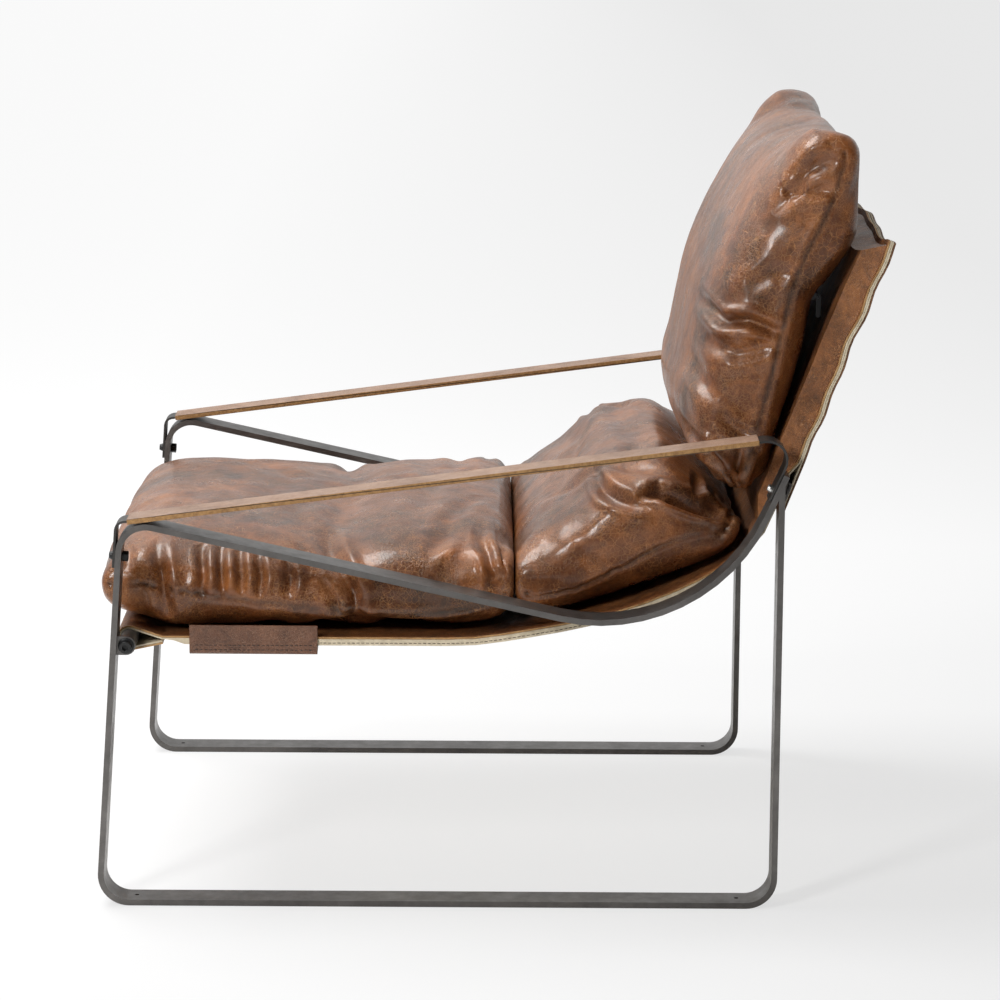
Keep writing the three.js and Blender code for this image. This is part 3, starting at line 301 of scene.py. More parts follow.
def wandering(look):
    """Object coordinates that wander a little, so that the crackle isn't straight."""
    warp = look.node("ShaderNodeVectorMath", operation="MULTIPLY_ADD")
    wobble = look.node("ShaderNodeTexNoise")
    wobble.inputs["Scale"].default_value = 55
    wobble.inputs["Detail"].default_value = 3
    look.link(look.place, wobble.inputs["Vector"])
    look.link(wobble.outputs["Color"], warp.inputs[0])
    warp.inputs[1].default_value = (WANDER, WANDER, WANDER)
    look.link(look.place, warp.inputs[2])
    return warp.outputs[0]


def crackle(look, place, scale, reach, patch_scale, *patch):
    """A web of fine lines that shows only in patches."""
    cells = look.node("ShaderNodeTexVoronoi", feature="DISTANCE_TO_EDGE")
    cells.inputs["Scale"].default_value = scale
    look.link(place, cells.inputs["Vector"])
    lines = look.ramp(cells.outputs["Distance"], (0.0, 1.0), (reach, 0.0))
    return look.math("MULTIPLY", lines, look.ramp(look.noise(patch_scale, 4, 0.65), *patch))


def leather(name, dark, mid, light, vein, roughness=0.36, mottle=8.0, seams=False, veins=0.85, coat=0.35):
    """Waxed, crackled hide: mottled colour, pale branching veins, fine grain."""
    look = Look(name)
    broad = look.math("MULTIPLY", look.noise(mottle, 5, 0.6, 0.6), BROAD_SHARE)
    small = look.math("MULTIPLY", look.noise(mottle * 7, 4, 0.65, 0.8), 1 - BROAD_SHARE)
    colour = look.ramp(look.math("ADD", broad, small), (0.36, dark), (0.5, mid), (0.66, light))
    place = wandering(look)
    wide = crackle(look, place, 150, 0.055, 19, (0.42, 0.15), (0.62, 1.0))
    fine = crackle(look, place, 310, 0.085, 33, (0.4, 0.1), (0.62, 0.9))
    web = look.math("MAXIMUM", wide, fine)
    colour = look.mix(look.math("MULTIPLY", web, veins), colour, vein)
    if seams:
        seam = look.math("MULTIPLY", look.attribute("seam"), SEAM_SHARE)
        colour = look.mix(seam, colour, tuple(channel / 4 for channel in dark))
    pores = look.math("MULTIPLY", look.noise(260, 5, 0.65, 0.5), 0.7)
    grain = look.math("ADD", pores, look.noise(620, 3, 0.6))
    soft = look.bump(look.noise(95, 4, 0.6, 0.4), 0.4, WAVE_DEPTH)
    scored = look.bump(look.math("MULTIPLY", web, -1.0), 0.5, CRACKLE_DEPTH, soft)
    return look.set(
        Base_Color=colour,
        Roughness=look.ramp(look.noise(30, 4, 0.6), (0.3, roughness - 0.08), (0.7, roughness + 0.12)),
        Normal=look.bump(grain, 0.6, GRAIN_DEPTH, scored),
        Specular_IOR_Level=SHINE_LEVEL,
        Specular_Tint=SHINE_TINT,
        Coat_Weight=coat,
        Coat_Roughness=COAT_ROUGHNESS,
    )


# Metal's scuffs and the threads of cloth, their depths in metres
WEAVE_SCALE, WEAVE_DEPTH, SCUFF_DEPTH = 230, 0.0005, 0.0003


def canvas(name, pale, dark):
    """Woven cloth or thread."""
    look = Look(name)
    colour = look.ramp(look.noise(140, 4, 0.6), (0.3, dark), (0.7, pale))
    threads = []
    for direction in ("X", "Z"):
        bands = look.node("ShaderNodeTexWave", wave_type="BANDS", bands_direction=direction)
        bands.inputs["Scale"].default_value = WEAVE_SCALE
        look.link(look.place, bands.inputs["Vector"])
        threads.append(bands.outputs["Fac"])
    weave = look.bump(look.math("MULTIPLY", *threads), 0.4, WEAVE_DEPTH)
    return look.set(Base_Color=colour, Roughness=0.9, Normal=weave, Sheen_Weight=0.15)


def lacquer(name, colour, roughness, metallic, scuffs=0.25):
    """Painted or bare metal with faint cloudy scuffs."""
    look = Look(name)
    darker = tuple(channel * (1 - scuffs) for channel in colour)
    lighter = tuple(min(1, channel * (1 + scuffs)) for channel in colour)
    return look.set(
        Base_Color=look.ramp(look.noise(24, 6, 0.7), (0.3, darker), (0.7, lighter)),
        Metallic=metallic,
        Roughness=look.ramp(look.noise(60, 5, 0.7), (0.3, roughness - 0.06), (0.7, roughness + 0.1)),
        Normal=look.bump(look.noise(420, 3, 0.6), 0.12, SCUFF_DEPTH),
    )


cushion_hide = leather(
    "cushion_hide", dark=(0.018, 0.0048, 0.0017), mid=(0.096, 0.0262, 0.0068), light=(0.25, 0.081, 0.0205),
    vein=(0.46, 0.21, 0.072), roughness=0.31, veins=0.6, coat=0.34, seams=True)
sling_hide = leather(
    "sling_hide", dark=(0.030, 0.010, 0.0045), mid=(0.125, 0.042, 0.013), light=(0.30, 0.11, 0.032),
    vein=(0.52, 0.25, 0.10), roughness=0.46, veins=0.5, coat=0.08, mottle=11)
panel_hide = leather(
    "panel_hide", dark=(0.030, 0.012, 0.007), mid=(0.085, 0.032, 0.015), light=(0.16, 0.062, 0.027),
    vein=(0.30, 0.14, 0.06), roughness=0.42, veins=0.5)
band_hide = leather(
    "band_hide", dark=(0.045, 0.015, 0.008), mid=(0.11, 0.042, 0.021), light=(0.19, 0.082, 0.045),
    vein=(0.38, 0.2, 0.12), roughness=0.36, mottle=14, veins=0.4)
raw_edge = leather(
    "raw_edge", dark=(0.22, 0.11, 0.045), mid=(0.38, 0.21, 0.085), light=(0.5, 0.31, 0.14),
    vein=(0.6, 0.42, 0.22), roughness=0.7, mottle=60, veins=0.2, coat=0.0)
brown_edge = leather(
    "brown_edge", dark=(0.06, 0.026, 0.012), mid=(0.13, 0.058, 0.027), light=(0.22, 0.11, 0.05),
    vein=(0.3, 0.17, 0.08), roughness=0.6, mottle=60, veins=0.2, coat=0.0)


def sleeve_leather():
    """The arm sleeve: a grey-brown face, and tan cut edges with a dark line between its two layers."""
    face = leather(
        "sleeve_hide", dark=(0.15, 0.083, 0.052), mid=(0.24, 0.145, 0.098), light=(0.32, 0.205, 0.145),
        vein=(0.42, 0.29, 0.2), roughness=0.46, mottle=18, veins=0.3, coat=0.1)
    look = Look.reopened(face)
    low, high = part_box("left_arm_sleeve")
    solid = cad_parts["left_arm_sleeve"]
    corners = [solid.matrix_world @ v.co for v in solid.data.vertices]
    front, rear = min(corners, key=lambda c: c.y - c.z), max(corners, key=lambda c: c.y)
    front_top = max(c.z for c in corners if c.y < front.y + MM)
    slope = (rear.z - front_top) / (rear.y - front.y)
    split = look.node("ShaderNodeSeparateXYZ")
    look.link(look.place, split.inputs[0])
    depth = look.math("SUBTRACT", split.outputs["Z"], look.math("MULTIPLY", split.outputs["Y"], slope))
    middle = (low.z + high.z) / 2 - (low.y + high.y) / 2 * slope
    away = look.math("ABSOLUTE", look.math("SUBTRACT", depth, middle))
    line = look.ramp(look.math("MULTIPLY", away, 1 / MM), (0.32, 1.0), (0.62, 0.0))
    facing = look.node("ShaderNodeSeparateXYZ")
    look.link(look.node("ShaderNodeTexCoord").outputs["Normal"], facing.inputs[0])
    edge = look.ramp(look.math("ABSOLUTE", facing.outputs["X"]), (0.55, 0.0), (0.8, 1.0))
    tan = look.ramp(look.noise(300, 4, 0.7), (0.3, (0.18, 0.088, 0.03)), (0.7, (0.42, 0.235, 0.09)))
    cut = look.mix(line, tan, (0.035, 0.018, 0.01))
    socket = look.shader.inputs["Base Color"]
    look.link(look.mix(edge, socket.links[0].from_socket, cut), socket)
    return face


sleeve_hide = sleeve_leather()
cream = canvas("cream_canvas", (0.66, 0.57, 0.42), (0.47, 0.39, 0.27))
filling = canvas("filling_cloth", (0.85, 0.82, 0.76), (0.74, 0.7, 0.62))
tape = canvas("zip_cloth", (0.012, 0.012, 0.013), (0.004, 0.004, 0.005))
dark_thread = canvas("dark_thread", (0.05, 0.03, 0.02), (0.03, 0.018, 0.012))
pale_thread = canvas("pale_thread", (0.42, 0.3, 0.17), (0.3, 0.2, 0.11))
gunmetal = lacquer("gunmetal", (0.125, 0.118, 0.112), 0.36, 0.85)
strap_metal = lacquer("strap_metal", (0.06, 0.057, 0.054), 0.4, 0.8)
black_metal = lacquer("black_metal", (0.018, 0.018, 0.018), 0.4, 0.5)
bright_metal = lacquer("bright_metal", (0.62, 0.62, 0.6), 0.3, 1.0, 0.1)
zip_metal = lacquer("zip_metal", (0.012, 0.012, 0.013), 0.35, 0.3)

# The rigid pieces
FINISHES = {
    "side_frame": gunmetal, "front_rail": gunmetal, "rear_cross_bar": gunmetal, "back_hoop": gunmetal,
    "arm_strap": strap_metal, "front_hook_bolt": black_metal, "front_hook_nut": black_metal,
    "rear_hook_bolt": bright_metal, "rail_plug": black_metal, "rail_screw": black_metal,
    "rail_washer": black_metal, "zip_slider": zip_metal, "zip_pull": zip_metal, "back_zip_tape": tape,
    "retaining_band": band_hide, "arm_sleeve": sleeve_hide, "back_cushion_insert": filling,
}
# How far edges are rounded, and the angle between two faces from which they are
EDGE_ROUNDING = {"side_frame": 0.7, "arm_strap": 0.5, "retaining_band": 0.5, "arm_sleeve": 0.6,
                 "rail_screw": 0.4, "front_hook_nut": 0.4, "zip_slider": 0.3, "zip_pull": 0.25}
ROUNDED_FROM = math.radians(40)


def plain(name):
    """A node's name without its side."""
    return name.removeprefix("left_").removeprefix("right_")


for name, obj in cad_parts.items():
    kind = plain(name)
    if kind not in FINISHES:
        continue
    obj.data.materials.clear()
    obj.data.materials.append(FINISHES[kind])
    weld = obj.modifiers.new("weld", "WELD")
    weld.merge_threshold = WELD
    if kind in EDGE_ROUNDING:
        rounding = obj.modifiers.new("rounding", "BEVEL")
        rounding.width = EDGE_ROUNDING[kind] * MM
        rounding.segments = 2
        rounding.limit_method = "ANGLE"
        rounding.angle_limit = ROUNDED_FROM
    obj.data.polygons.foreach_set("use_smooth", [True] * len(obj.data.polygons))
    smooth = obj.modifiers.new("normals", "WEIGHTED_NORMAL")
    smooth.keep_sharp = True


# The sling: two sheets round the front rail and over the hoop, and two more behind the hoop
sling_low, sling_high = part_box("sling_leather")
SLING_HALF = sling_high.x / MM
SLING_TOP = sling_high.z / MM
# The squares that a sheet is cut into, finer beyond a share of its half width
SQUARE, FLANK_SQUARE, FLANK_FROM = 10, 4, 0.88
SHARP = math.radians(35)
# How far parts of the sheets move
FLUTTER, WAVE, SINK, CURL, DIP, SLACK = 1.3, 1.8, 1.2, 2.0, 3.0, 1.3
# Waves in radians a millimetre: down the raw edges, across the top, and in the panel behind the hoop
EDGE_WAVE, SLOW_EDGE_WAVE, EDGE_SLANT = 0.115, 0.061, 0.01
TOP_WAVE, SHORT_TOP_WAVE = 0.021, 0.053
PANEL_WAVE_ACROSS, PANEL_WAVE_UP = 0.012, 0.02
# How thick the hem is, and how far behind the rail it starts and is full
HEM, HEM_START, HEM_FULL = 5.2, 32, 52
# The hem's inner edge in shares of the half width, and its end in shares of the sling's reach to the rear
HEM_EDGE, HEM_END = (0.962, 0.98), (0.55, 0.7)
SLING_CLEARANCE = 0.8


def front_of(node):
    """The way that the forward face of a flat sheet looks."""
    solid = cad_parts[node]
    turn = solid.matrix_world.to_3x3()
    total = Vector()
    for face in solid.data.polygons:
        way = turn @ face.normal
        if way.y < 0:
            total += way * face.area
    return total.normalized()


back_front = front_of("back_panel_leather")


def cut_up(mesh, low, high):
    """Cuts a sheet into small squares, finer at its flanks, so that it can ripple."""
    flank = FLANK_FROM * high.x
    edge = np.arange(flank, high.x, FLANK_SQUARE * MM)
    planes = [(axis, at) for axis in (1, 2) for at in np.arange(low[axis], high[axis], SQUARE * MM)[1:]]
    planes += [(0, at) for at in (*np.arange(-flank, flank, SQUARE * MM), *edge, *-edge)]
    for axis, at in planes:
        way = Vector((0, 0, 0))
        way[axis] = 1
        everything = [*mesh.verts, *mesh.edges, *mesh.faces]
        bmesh.ops.bisect_plane(mesh, geom=everything, plane_co=way * at, plane_no=way)


def sheet_from(node, face_look, rim_look):
    """A fine copy of a sheet's solid; its cut rim has a look of its own."""
    name = node + "_dressed"
    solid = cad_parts[node]
    low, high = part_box(node)
    mesh = bmesh.new()
    mesh.from_mesh(solid.data)
    mesh.transform(solid.matrix_world)
    bmesh.ops.remove_doubles(mesh, verts=mesh.verts, dist=WELD)
    broad = [edge for edge in mesh.edges if all(abs(face.normal.x) < 0.5 for face in edge.link_faces)]
    bmesh.ops.dissolve_limit(mesh, angle_limit=0.002, verts=[], edges=broad)
    cut_up(mesh, low, high)
    for face in mesh.faces:
        middle = face.calc_center_median()
        at_flank = abs(face.normal.x) > 0.7 and abs(middle.x) > high.x - 0.1 * MM
        at_top = abs(face.normal.dot(back_front)) < 0.5 and middle.z > 0.98 * high.z
        face.material_index = int(at_flank or at_top)
        face.smooth = True
    for edge in mesh.edges:
        edge.smooth = edge.calc_face_angle(0) < SHARP
    data = bpy.data.meshes.new(name)
    mesh.to_mesh(data)
    mesh.free()
    data.materials.append(face_look)
    data.materials.append(rim_look)
    obj = bpy.data.objects.new(name, data)
    scene.collection.objects.link(obj)
    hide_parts(node)
    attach(obj, "root")
    return obj


def ripple(obj):
    """Lets the raw edges of the back flutter and its top wave; all four sheets move together."""
    co = coords(obj)
    x, y, z = (co / MM).T
    share, rise = np.abs(x) / SLING_HALF, z / SLING_TOP
    brisk, slow = np.sin(z * EDGE_WAVE + 1.3), np.sin(z * SLOW_EDGE_WAVE + x * EDGE_SLANT)
    flutter = (brisk + 0.6 * slow) * ease(0.9, 1.0, share)
    wave = np.sin(x * TOP_WAVE + 0.8) + 0.5 * np.sin(x * SHORT_TOP_WAVE)
    dip = ease(0.55, 0.8, share) * (1 - ease(0.8, 0.97, share))
    move = np.outer(ease(0.66, 0.73, rise) * flutter * FLUTTER, back_front)
    move[:, 1] += ease(0.92, 1.0, rise) * ease(0.6, 1.0, share) * CURL + ease(0.85, 1.0, rise) * wave
    move[:, 2] += ease(0.9, 1.0, rise) * (wave * WAVE - SINK - DIP * dip)
    set_coords(obj, co + move * MM)


def slacken(obj):
    """The panel behind the hoop hangs a little loose between its flanks."""
    co = coords(obj)
    x, y, z = (co / MM).T
    held = ease(0.8, 1.0, np.abs(x) / SLING_HALF)
    loose = np.sin(x * PANEL_WAVE_ACROSS + 1) * np.sin(z * PANEL_WAVE_UP) * (1 - held)
    set_coords(obj, co - np.outer(loose * SLACK * MM, back_front))


def fold_hem(obj):
    """Under the seat the canvas is folded into a thick hem along both edges."""
    co, facing = coords(obj), normals(obj)
    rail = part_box("front_rail")[1].y
    share = np.abs(co[:, 0]) / sling_high.x
    along = ease(rail + HEM_START * MM, rail + HEM_FULL * MM, co[:, 1])
    along *= 1 - ease(HEM_END[0] * sling_high.y, HEM_END[1] * sling_high.y, co[:, 1])
    co[:, 2] -= ease(*HEM_EDGE, share) * along * (facing[:, 2] < -0.2) * HEM * MM
    set_coords(obj, co)


leather_sheet = sheet_from("sling_leather", sling_hide, raw_edge)
canvas_sheet = sheet_from("sling_canvas", cream, cream)
panel_canvas = sheet_from("back_panel_canvas", cream, cream)
panel_leather = sheet_from("back_panel_leather", panel_hide, brown_edge)
fold_hem(canvas_sheet)
for obj in (panel_canvas, panel_leather):
    slacken(obj)
for obj in (leather_sheet, canvas_sheet, panel_canvas, panel_leather):
    ripple(obj)


def rays(obj, starts, way):
    """Where rays from some places meet a piece, in metres."""
    tree = BVHTree.FromObject(obj, bpy.context.evaluated_depsgraph_get())
    hits = [tree.ray_cast(Vector(start), Vector(way))[0] for start in starts]
    return np.array([hit for hit in hits if hit is not None])


# Where the sling is measured: its seat up to a share of its reach, its back between shares of its height
SEAT_END, BACK_START, BACK_END = 0.66, 0.57, 0.98
seat_run = np.linspace(sling_low.y + MM, SEAT_END * sling_high.y, 90)
back_run = np.linspace(BACK_START * sling_high.z, BACK_END * sling_high.z, 60)
over_seat = rays(leather_sheet, [(0, y, 1) for y in seat_run], (0, 0, -1)) / MM
before_back = rays(leather_sheet, [(0, 0, z) for z in back_run], (0, 1, 0)) / MM


def sling_top(y):
    """Height of the leather's top face over the seat."""
    return np.interp(y, over_seat[:, 1], over_seat[:, 2])


def sling_front(z):
    """The y of the front face of the sling's back at a height."""
    return np.interp(z, before_back[:, 2], before_back[:, 1]) - SLING_CLEARANCE


# A stitch's pitch and length, and its rise and its flatness as shares of its width
STITCH_STEP, STITCH, STITCH_RISE, STITCH_FLATNESS = 5, 3.4, 0.6, 0.8


def stitch_row(name, path, width, thread, out):
    """A row of stitches along a 3-D path in millimetres."""
    path = np.asarray(path, float)
    run = run_of(path)
    count = max(2, int(run[-1] / STITCH_STEP))
    vertices, faces = [], []
    for k in range(count):
        at = (k + 0.5) * run[-1] / count
        ends = (at - STITCH / 2, at + STITCH / 2)
        a, b = (np.array([np.interp(end, run, column) for column in path.T]) for end in ends)
        way = (b - a) / max(np.linalg.norm(b - a), TINY)
        up = np.array(out, float)
        beside = np.cross(way, up)
        beside /= max(np.linalg.norm(beside), TINY)
        up = np.cross(beside, way)
        base = len(vertices)
        for end, rise in ((a, 0.0), ((a + b) / 2, width), (b, 0.0)):
            centre = end + up * rise * STITCH_RISE
            for su, sv in ((1, 0), (0, 1), (-1, 0), (0, -1)):
                vertices.append((centre + beside * su * width + up * sv * width * STITCH_FLATNESS) * MM)
        for ring in range(2):
            for q in range(4):
                r = base + ring * 4
                faces.append((r + q, r + (q + 1) % 4, r + 4 + (q + 1) % 4, r + 4 + q))
        faces.append((base + 3, base + 2, base + 1, base))
        faces.append((base + 8, base + 9, base + 10, base + 11))
    return make(name, vertices, faces, thread)


# Cushions
VOXEL, QUICK_VOXEL = 5, 8
# A place beyond every cushion's flank, from the middle of the chair
FLANK_REACH = 330 * MM


def cushion(name, node, hollow=False):
    """A close, even mesh of a cushion, grown from its solid."""
    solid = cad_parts[node]
    obj = bpy.data.objects.new(name, solid.data.copy())
    scene.collection.objects.link(obj)
    obj.data.transform(solid.matrix_world)
    if hollow:
        outer_skin(obj)
    weld = obj.modifiers.new("weld", "WELD")
    weld.merge_threshold = WELD
    rounder = obj.modifiers.new("rounder", "SUBSURF")
    rounder.levels = rounder.render_levels = 2
    remesh = obj.modifiers.new("remesh", "REMESH")
    remesh.mode = "VOXEL"
    remesh.voxel_size = VOXEL * MM
    baked(obj)
    obj.data.materials.clear()
    obj.data.materials.append(cushion_hide)
    return obj


def within(node, y_share, z_share):
    """A place in the middle plane of the chair, at shares of a node's box."""
    low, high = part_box(node)
    return Vector((0, low.y + (high.y - low.y) * y_share, low.z + (high.z - low.z) * z_share))


# The middle of the back cushion's thickness, in the side view
PILLOW_FOOT_MIDDLE = within("back_cushion_cover", 0.35, 0.04)
PILLOW_TOP_MIDDLE = within("back_cushion_cover", 0.84, 0.93)
PILLOW_MIDDLE_HALF = 250 * MM


def outer_skin(obj):
    """Keeps the outside of the hollow cover and closes its zip slot."""
    mesh = bmesh.new()
    mesh.from_mesh(obj.data)
    bmesh.ops.remove_doubles(mesh, verts=mesh.verts, dist=WELD)
    run = PILLOW_TOP_MIDDLE - PILLOW_FOOT_MIDDLE
    inner = []
    for face in mesh.faces:
        at = face.calc_center_median()
        share = min(max((at.z - PILLOW_FOOT_MIDDLE.z) / run.z, 0), 1)
        middle = PILLOW_FOOT_MIDDLE + run * share
        middle.x = min(max(at.x, -PILLOW_MIDDLE_HALF), PILLOW_MIDDLE_HALF)
        if face.normal.dot(at - middle) < 0:
            inner.append(face)
    bmesh.ops.delete(mesh, geom=inner, context="FACES")
    bmesh.ops.delete(mesh, geom=[v for v in mesh.verts if not v.link_faces], context="VERTS")
    bmesh.ops.holes_fill(mesh, edges=[e for e in mesh.edges if e.is_boundary], sides=0)
    bmesh.ops.recalc_face_normals(mesh, faces=mesh.faces)
    mesh.to_mesh(obj.data)
    mesh.free()


def side_seams(obj, line):
    """The seam drawn in the side view, laid on both flanks of a cushion."""
    tree = BVHTree.FromObject(obj, bpy.context.evaluated_depsgraph_get())
    places = spline(on_flank(line))(np.linspace(0, 1, 160))
    found = []
    for side in (1, -1):
        path = []
        for y, z in places:
            hit = tree.find_nearest(Vector((side * FLANK_REACH, y * MM, z * MM)))[0]
            path.append([c / MM for c in hit])
        found.append(np.array(path))
    return found


def cross_seam(paths, end):
    """The seam across the end of a cushion, between its two flank seams."""
    a, b = paths[0][end], paths[1][end]
    return a + (b - a) * np.linspace(0, 1, 120)[:, None]


SPREAD = 0.7


def spread_out(obj, values, rounds):
    """Averages per-vertex values over their neighbours, again and again."""
    mesh = obj.data
    pairs = np.zeros(len(mesh.edges) * 2, int)
    mesh.edges.foreach_get("vertices", pairs)
    a, b = pairs[0::2], pairs[1::2]
    count = np.bincount(a, minlength=len(values)) + np.bincount(b, minlength=len(values))
    values = values.copy()
    for _ in range(rounds):
        total = np.zeros_like(values)
        for k in range(values.shape[1]):
            total[:, k] += np.bincount(a, values[b, k], len(values))
            total[:, k] += np.bincount(b, values[a, k], len(values))
        values = (1 - SPREAD) * values + SPREAD * total / np.maximum(count, 1)[:, None]
    return values


# The cloth: how it is blown up, and how near a seam it is held
PRESSURE, GROWTH, FRAMES = 4.0, 0.035, 20
PIN_REACH, PIN_FIRMNESS = 7 * MM, 1.25
# What is kept of its movement: fine wrinkles, up to a size, fewer far from the seams
WRINKLE_ROUNDS, SWELLING_ROUNDS = 5, 110
CAP, CAP_GIVE = 12 * MM, 0.15
SEAM_REACH, FAR_WRINKLES = 55 * MM, 0.3


def simulate(obj, seams):
    """Inflates the cover as cloth, held at its seams; its wrinkles stay and its swelling is taken back."""
    before = coords(obj)
    sewn = np.concatenate(seams) * MM
    tree = KDTree(len(sewn))
    for k, place in enumerate(sewn):
        tree.insert(Vector(place), k)
    tree.balance()
    near = np.array([tree.find(Vector(place))[2] for place in before])
    pins = obj.vertex_groups.new(name="pins")
    for i in np.nonzero(near < PIN_REACH)[0]:
        pins.add([int(i)], float(np.clip(PIN_FIRMNESS - near[i] / PIN_REACH, 0, 1)), "REPLACE")
    cloth = obj.modifiers.new("cloth", "CLOTH")
    fabric = cloth.settings
    fabric.quality = 5
    fabric.mass = 0.4
    fabric.tension_stiffness = 12
    fabric.compression_stiffness = 12
    fabric.shear_stiffness = 4
    fabric.bending_stiffness = 0.4
    fabric.use_pressure = True
    fabric.uniform_pressure_force = PRESSURE
    fabric.shrink_min = -GROWTH
    fabric.vertex_group_mass = "pins"
    fabric.effector_weights.gravity = 0
    cloth.collision_settings.use_collision = False
    cloth.point_cache.frame_start, cloth.point_cache.frame_end = 1, FRAMES
    for moment in range(1, FRAMES + 1):
        scene.frame_set(moment)
    baked(obj)
    obj.vertex_groups.clear()
    scene.frame_set(1)
    move = coords(obj) - before
    move = spread_out(obj, move, WRINKLE_ROUNDS) - spread_out(obj, move, SWELLING_ROUNDS)
    move *= (FAR_WRINKLES + (1 - FAR_WRINKLES) * np.exp(-((near / SEAM_REACH) ** 2)))[:, None]
    size = np.linalg.norm(move, axis=1)
    capped = np.where(size > CAP, CAP + (size - CAP) * CAP_GIVE, size)
    set_coords(obj, before + move * (capped / np.maximum(size, TINY))[:, None])


def subdivided(obj):
    finer = obj.modifiers.new("finer", "SUBSURF")
    finer.levels = finer.render_levels = 1
    return baked(obj)


# A fold's raised lip beside its valley, how its ends taper, and how far from the middle a side fold fades in
LIP, LIP_AT, LIP_SHARPNESS, TAPER = 0.35, 1.9, 1.6, 0.6
FOLD_FADE = (150 * MM, 245 * MM)


def press(obj, path, depth, width, side=0, ends=0.35):
    """A fold pressed along a path: a valley with a raised lip. Without a side it is drawn in plan."""
    co, facing = coords(obj), normals(obj)
    axes = [1, 2] if side else [0, 1]
    gap, share = distance_to(co[:, axes], np.asarray(path, float) * MM)
    gap /= width * MM
    shape = np.exp(-(gap**2)) - LIP * np.exp(-((gap - LIP_AT) ** 2) * LIP_SHARPNESS)
    taper = np.clip(np.minimum(share, 1 - share) / ends, 0, 1) ** TAPER
    mask = ease(*FOLD_FADE, co[:, 0] * side) if side else ease(0.1, 0.5, facing[:, 2])
    set_coords(obj, co - facing * (shape * taper * mask * depth * MM)[:, None])


# A seam's valley, the ridge that it lies on, and the dark line of its thread
SEAM_DEPTH, SEAM_WIDTH, PINCH_WIDTH, THREAD_WIDTH = 3.4, 2.8, 9.8, 2.3


def sew(obj, seams, pinch):
    """Draws the seam in: a narrow valley on a ridge, and a dark line for the thread."""
    co, facing = coords(obj), normals(obj)
    gap = np.full(len(co), FAR_OFF)
    for path in seams:
        gap = np.minimum(gap, distance_to(co, path[::3] * MM)[0])
    gap /= MM
    ridge = np.exp(-((gap / PINCH_WIDTH) ** 2)) * pinch
    valley = np.exp(-((gap / SEAM_WIDTH) ** 2)) * SEAM_DEPTH
    set_coords(obj, co + facing * ((ridge - valley) * MM)[:, None])
    thread = obj.data.attributes.new("seam", "FLOAT", "POINT")
    thread.data.foreach_set("value", np.exp(-((gap / THREAD_WIDTH) ** 2)).astype(np.float32))


def keep_between(obj, upper=None, lower=None, behind=None, front=None):
    """Holds points off the neighbours: heights under and over them, and the y before and behind them."""
    co = coords(obj)
    y, z = co[:, 1] / MM, co[:, 2] / MM
    if lower:
        z = np.maximum(z, lower(y))
    if upper:
        z = np.minimum(z, upper(y))
    if behind:
        y = np.minimum(y, behind(z))
    if front:
        y = np.maximum(y, front(z))
    co[:, 1], co[:, 2] = y * MM, z * MM
    set_coords(obj, co)


# Places in the photograph, in its pixels: where the lumbar and the back cushion press on each other, and
# the seams along the near flanks
FOLD_LINE = [(638, 418), (667, 438), (681, 457), (696, 472), (714, 487), (729, 499), (742, 507), (768, 521)]
SEAT_SEAM = [(101, 585), (136, 584), (183, 591), (240, 599), (315, 609), (356, 615), (419, 618), (475, 615),
             (511, 606)]
LUMBAR_SEAM = [(516, 608), (550, 610), (584, 604), (617, 581), (659, 553), (713, 530), (742, 519)]
PILLOW_SEAM = [(742, 502), (750, 471), (759, 439), (767, 412), (774, 381), (783, 343), (794, 296), (809, 254),
               (823, 227), (836, 201), (846, 175), (850, 148)]
fold_line = on_flank(FOLD_LINE)

seat_obj = cushion("seat_cushion_dressed", "seat_cushion")
lumbar_obj = cushion("lumbar_cushion_dressed", "lumbar_cushion")
pillow_obj = cushion("back_cushion_dressed", "back_cushion_cover", hollow=True)
dressed = []
for obj, line in ((seat_obj, SEAT_SEAM), (lumbar_obj, LUMBAR_SEAM), (pillow_obj, PILLOW_SEAM)):
    flanks = side_seams(obj, line)
    seams = [*flanks, cross_seam(flanks, 0), cross_seam(flanks, -1)]
    simulate(obj, seams)
    subdivided(obj)
    dressed.append((obj, seams))
(seat_obj, seat_seams), (lumbar_obj, lumbar_seams), (pillow_obj, pillow_seams) = dressed

# Folds as (photograph pixels, depth, width), as they lie on the near flanks
SEAT_FOLDS = [
    ([(198, 551), (203, 575), (200, 594)], 7, 5),
    ([(218, 551), (221, 574), (223, 593)], 8, 5),
    ([(237, 553), (241, 574), (241, 593)], 7, 5),
    ([(256, 556), (261, 578), (258, 596)], 7, 5),
    ([(285, 561), (290, 581), (287, 598)], 6, 6),
    ([(153, 547), (161, 575), (164, 595), (169, 613)], 8, 7),
    ([(308, 527), (323, 548), (339, 571), (353, 592), (356, 608), (350, 620)], 10, 8),
    ([(322, 579), (337, 598), (340, 613)], 6, 6),
    ([(474, 541), (489, 555), (495, 575), (492, 595)], 8, 6),
    ([(495, 536), (503, 555), (504, 579), (501, 597)], 6, 5),
    ([(423, 556), (443, 546), (453, 536)], 5, 7),
    ([(310, 622), (356, 616), (390, 620), (440, 622), (489, 619)], 8, 7),
    ([(128, 552), (124, 573)], 5, 6),
]
LUMBAR_FOLDS = [
    ([(580, 444), (584, 471), (602, 496), (634, 507), (653, 506)], 9, 6),
    ([(638, 499), (659, 495), (697, 510), (737, 522)], 16, 5),
    ([(694, 496), (712, 492), (731, 510), (739, 511)], 11, 5),
    ([(689, 455), (708, 466), (720, 482), (731, 498)], 7, 6),
    ([(726, 470), (733, 488), (738, 505)], 6, 5),
    ([(535, 455), (530, 481), (525, 510), (522, 548)], 3, 8),
    ([(717, 537), (731, 526), (738, 517)], 4, 4),
    ([(540, 555), (570, 561), (608, 548)], 3, 12),
]
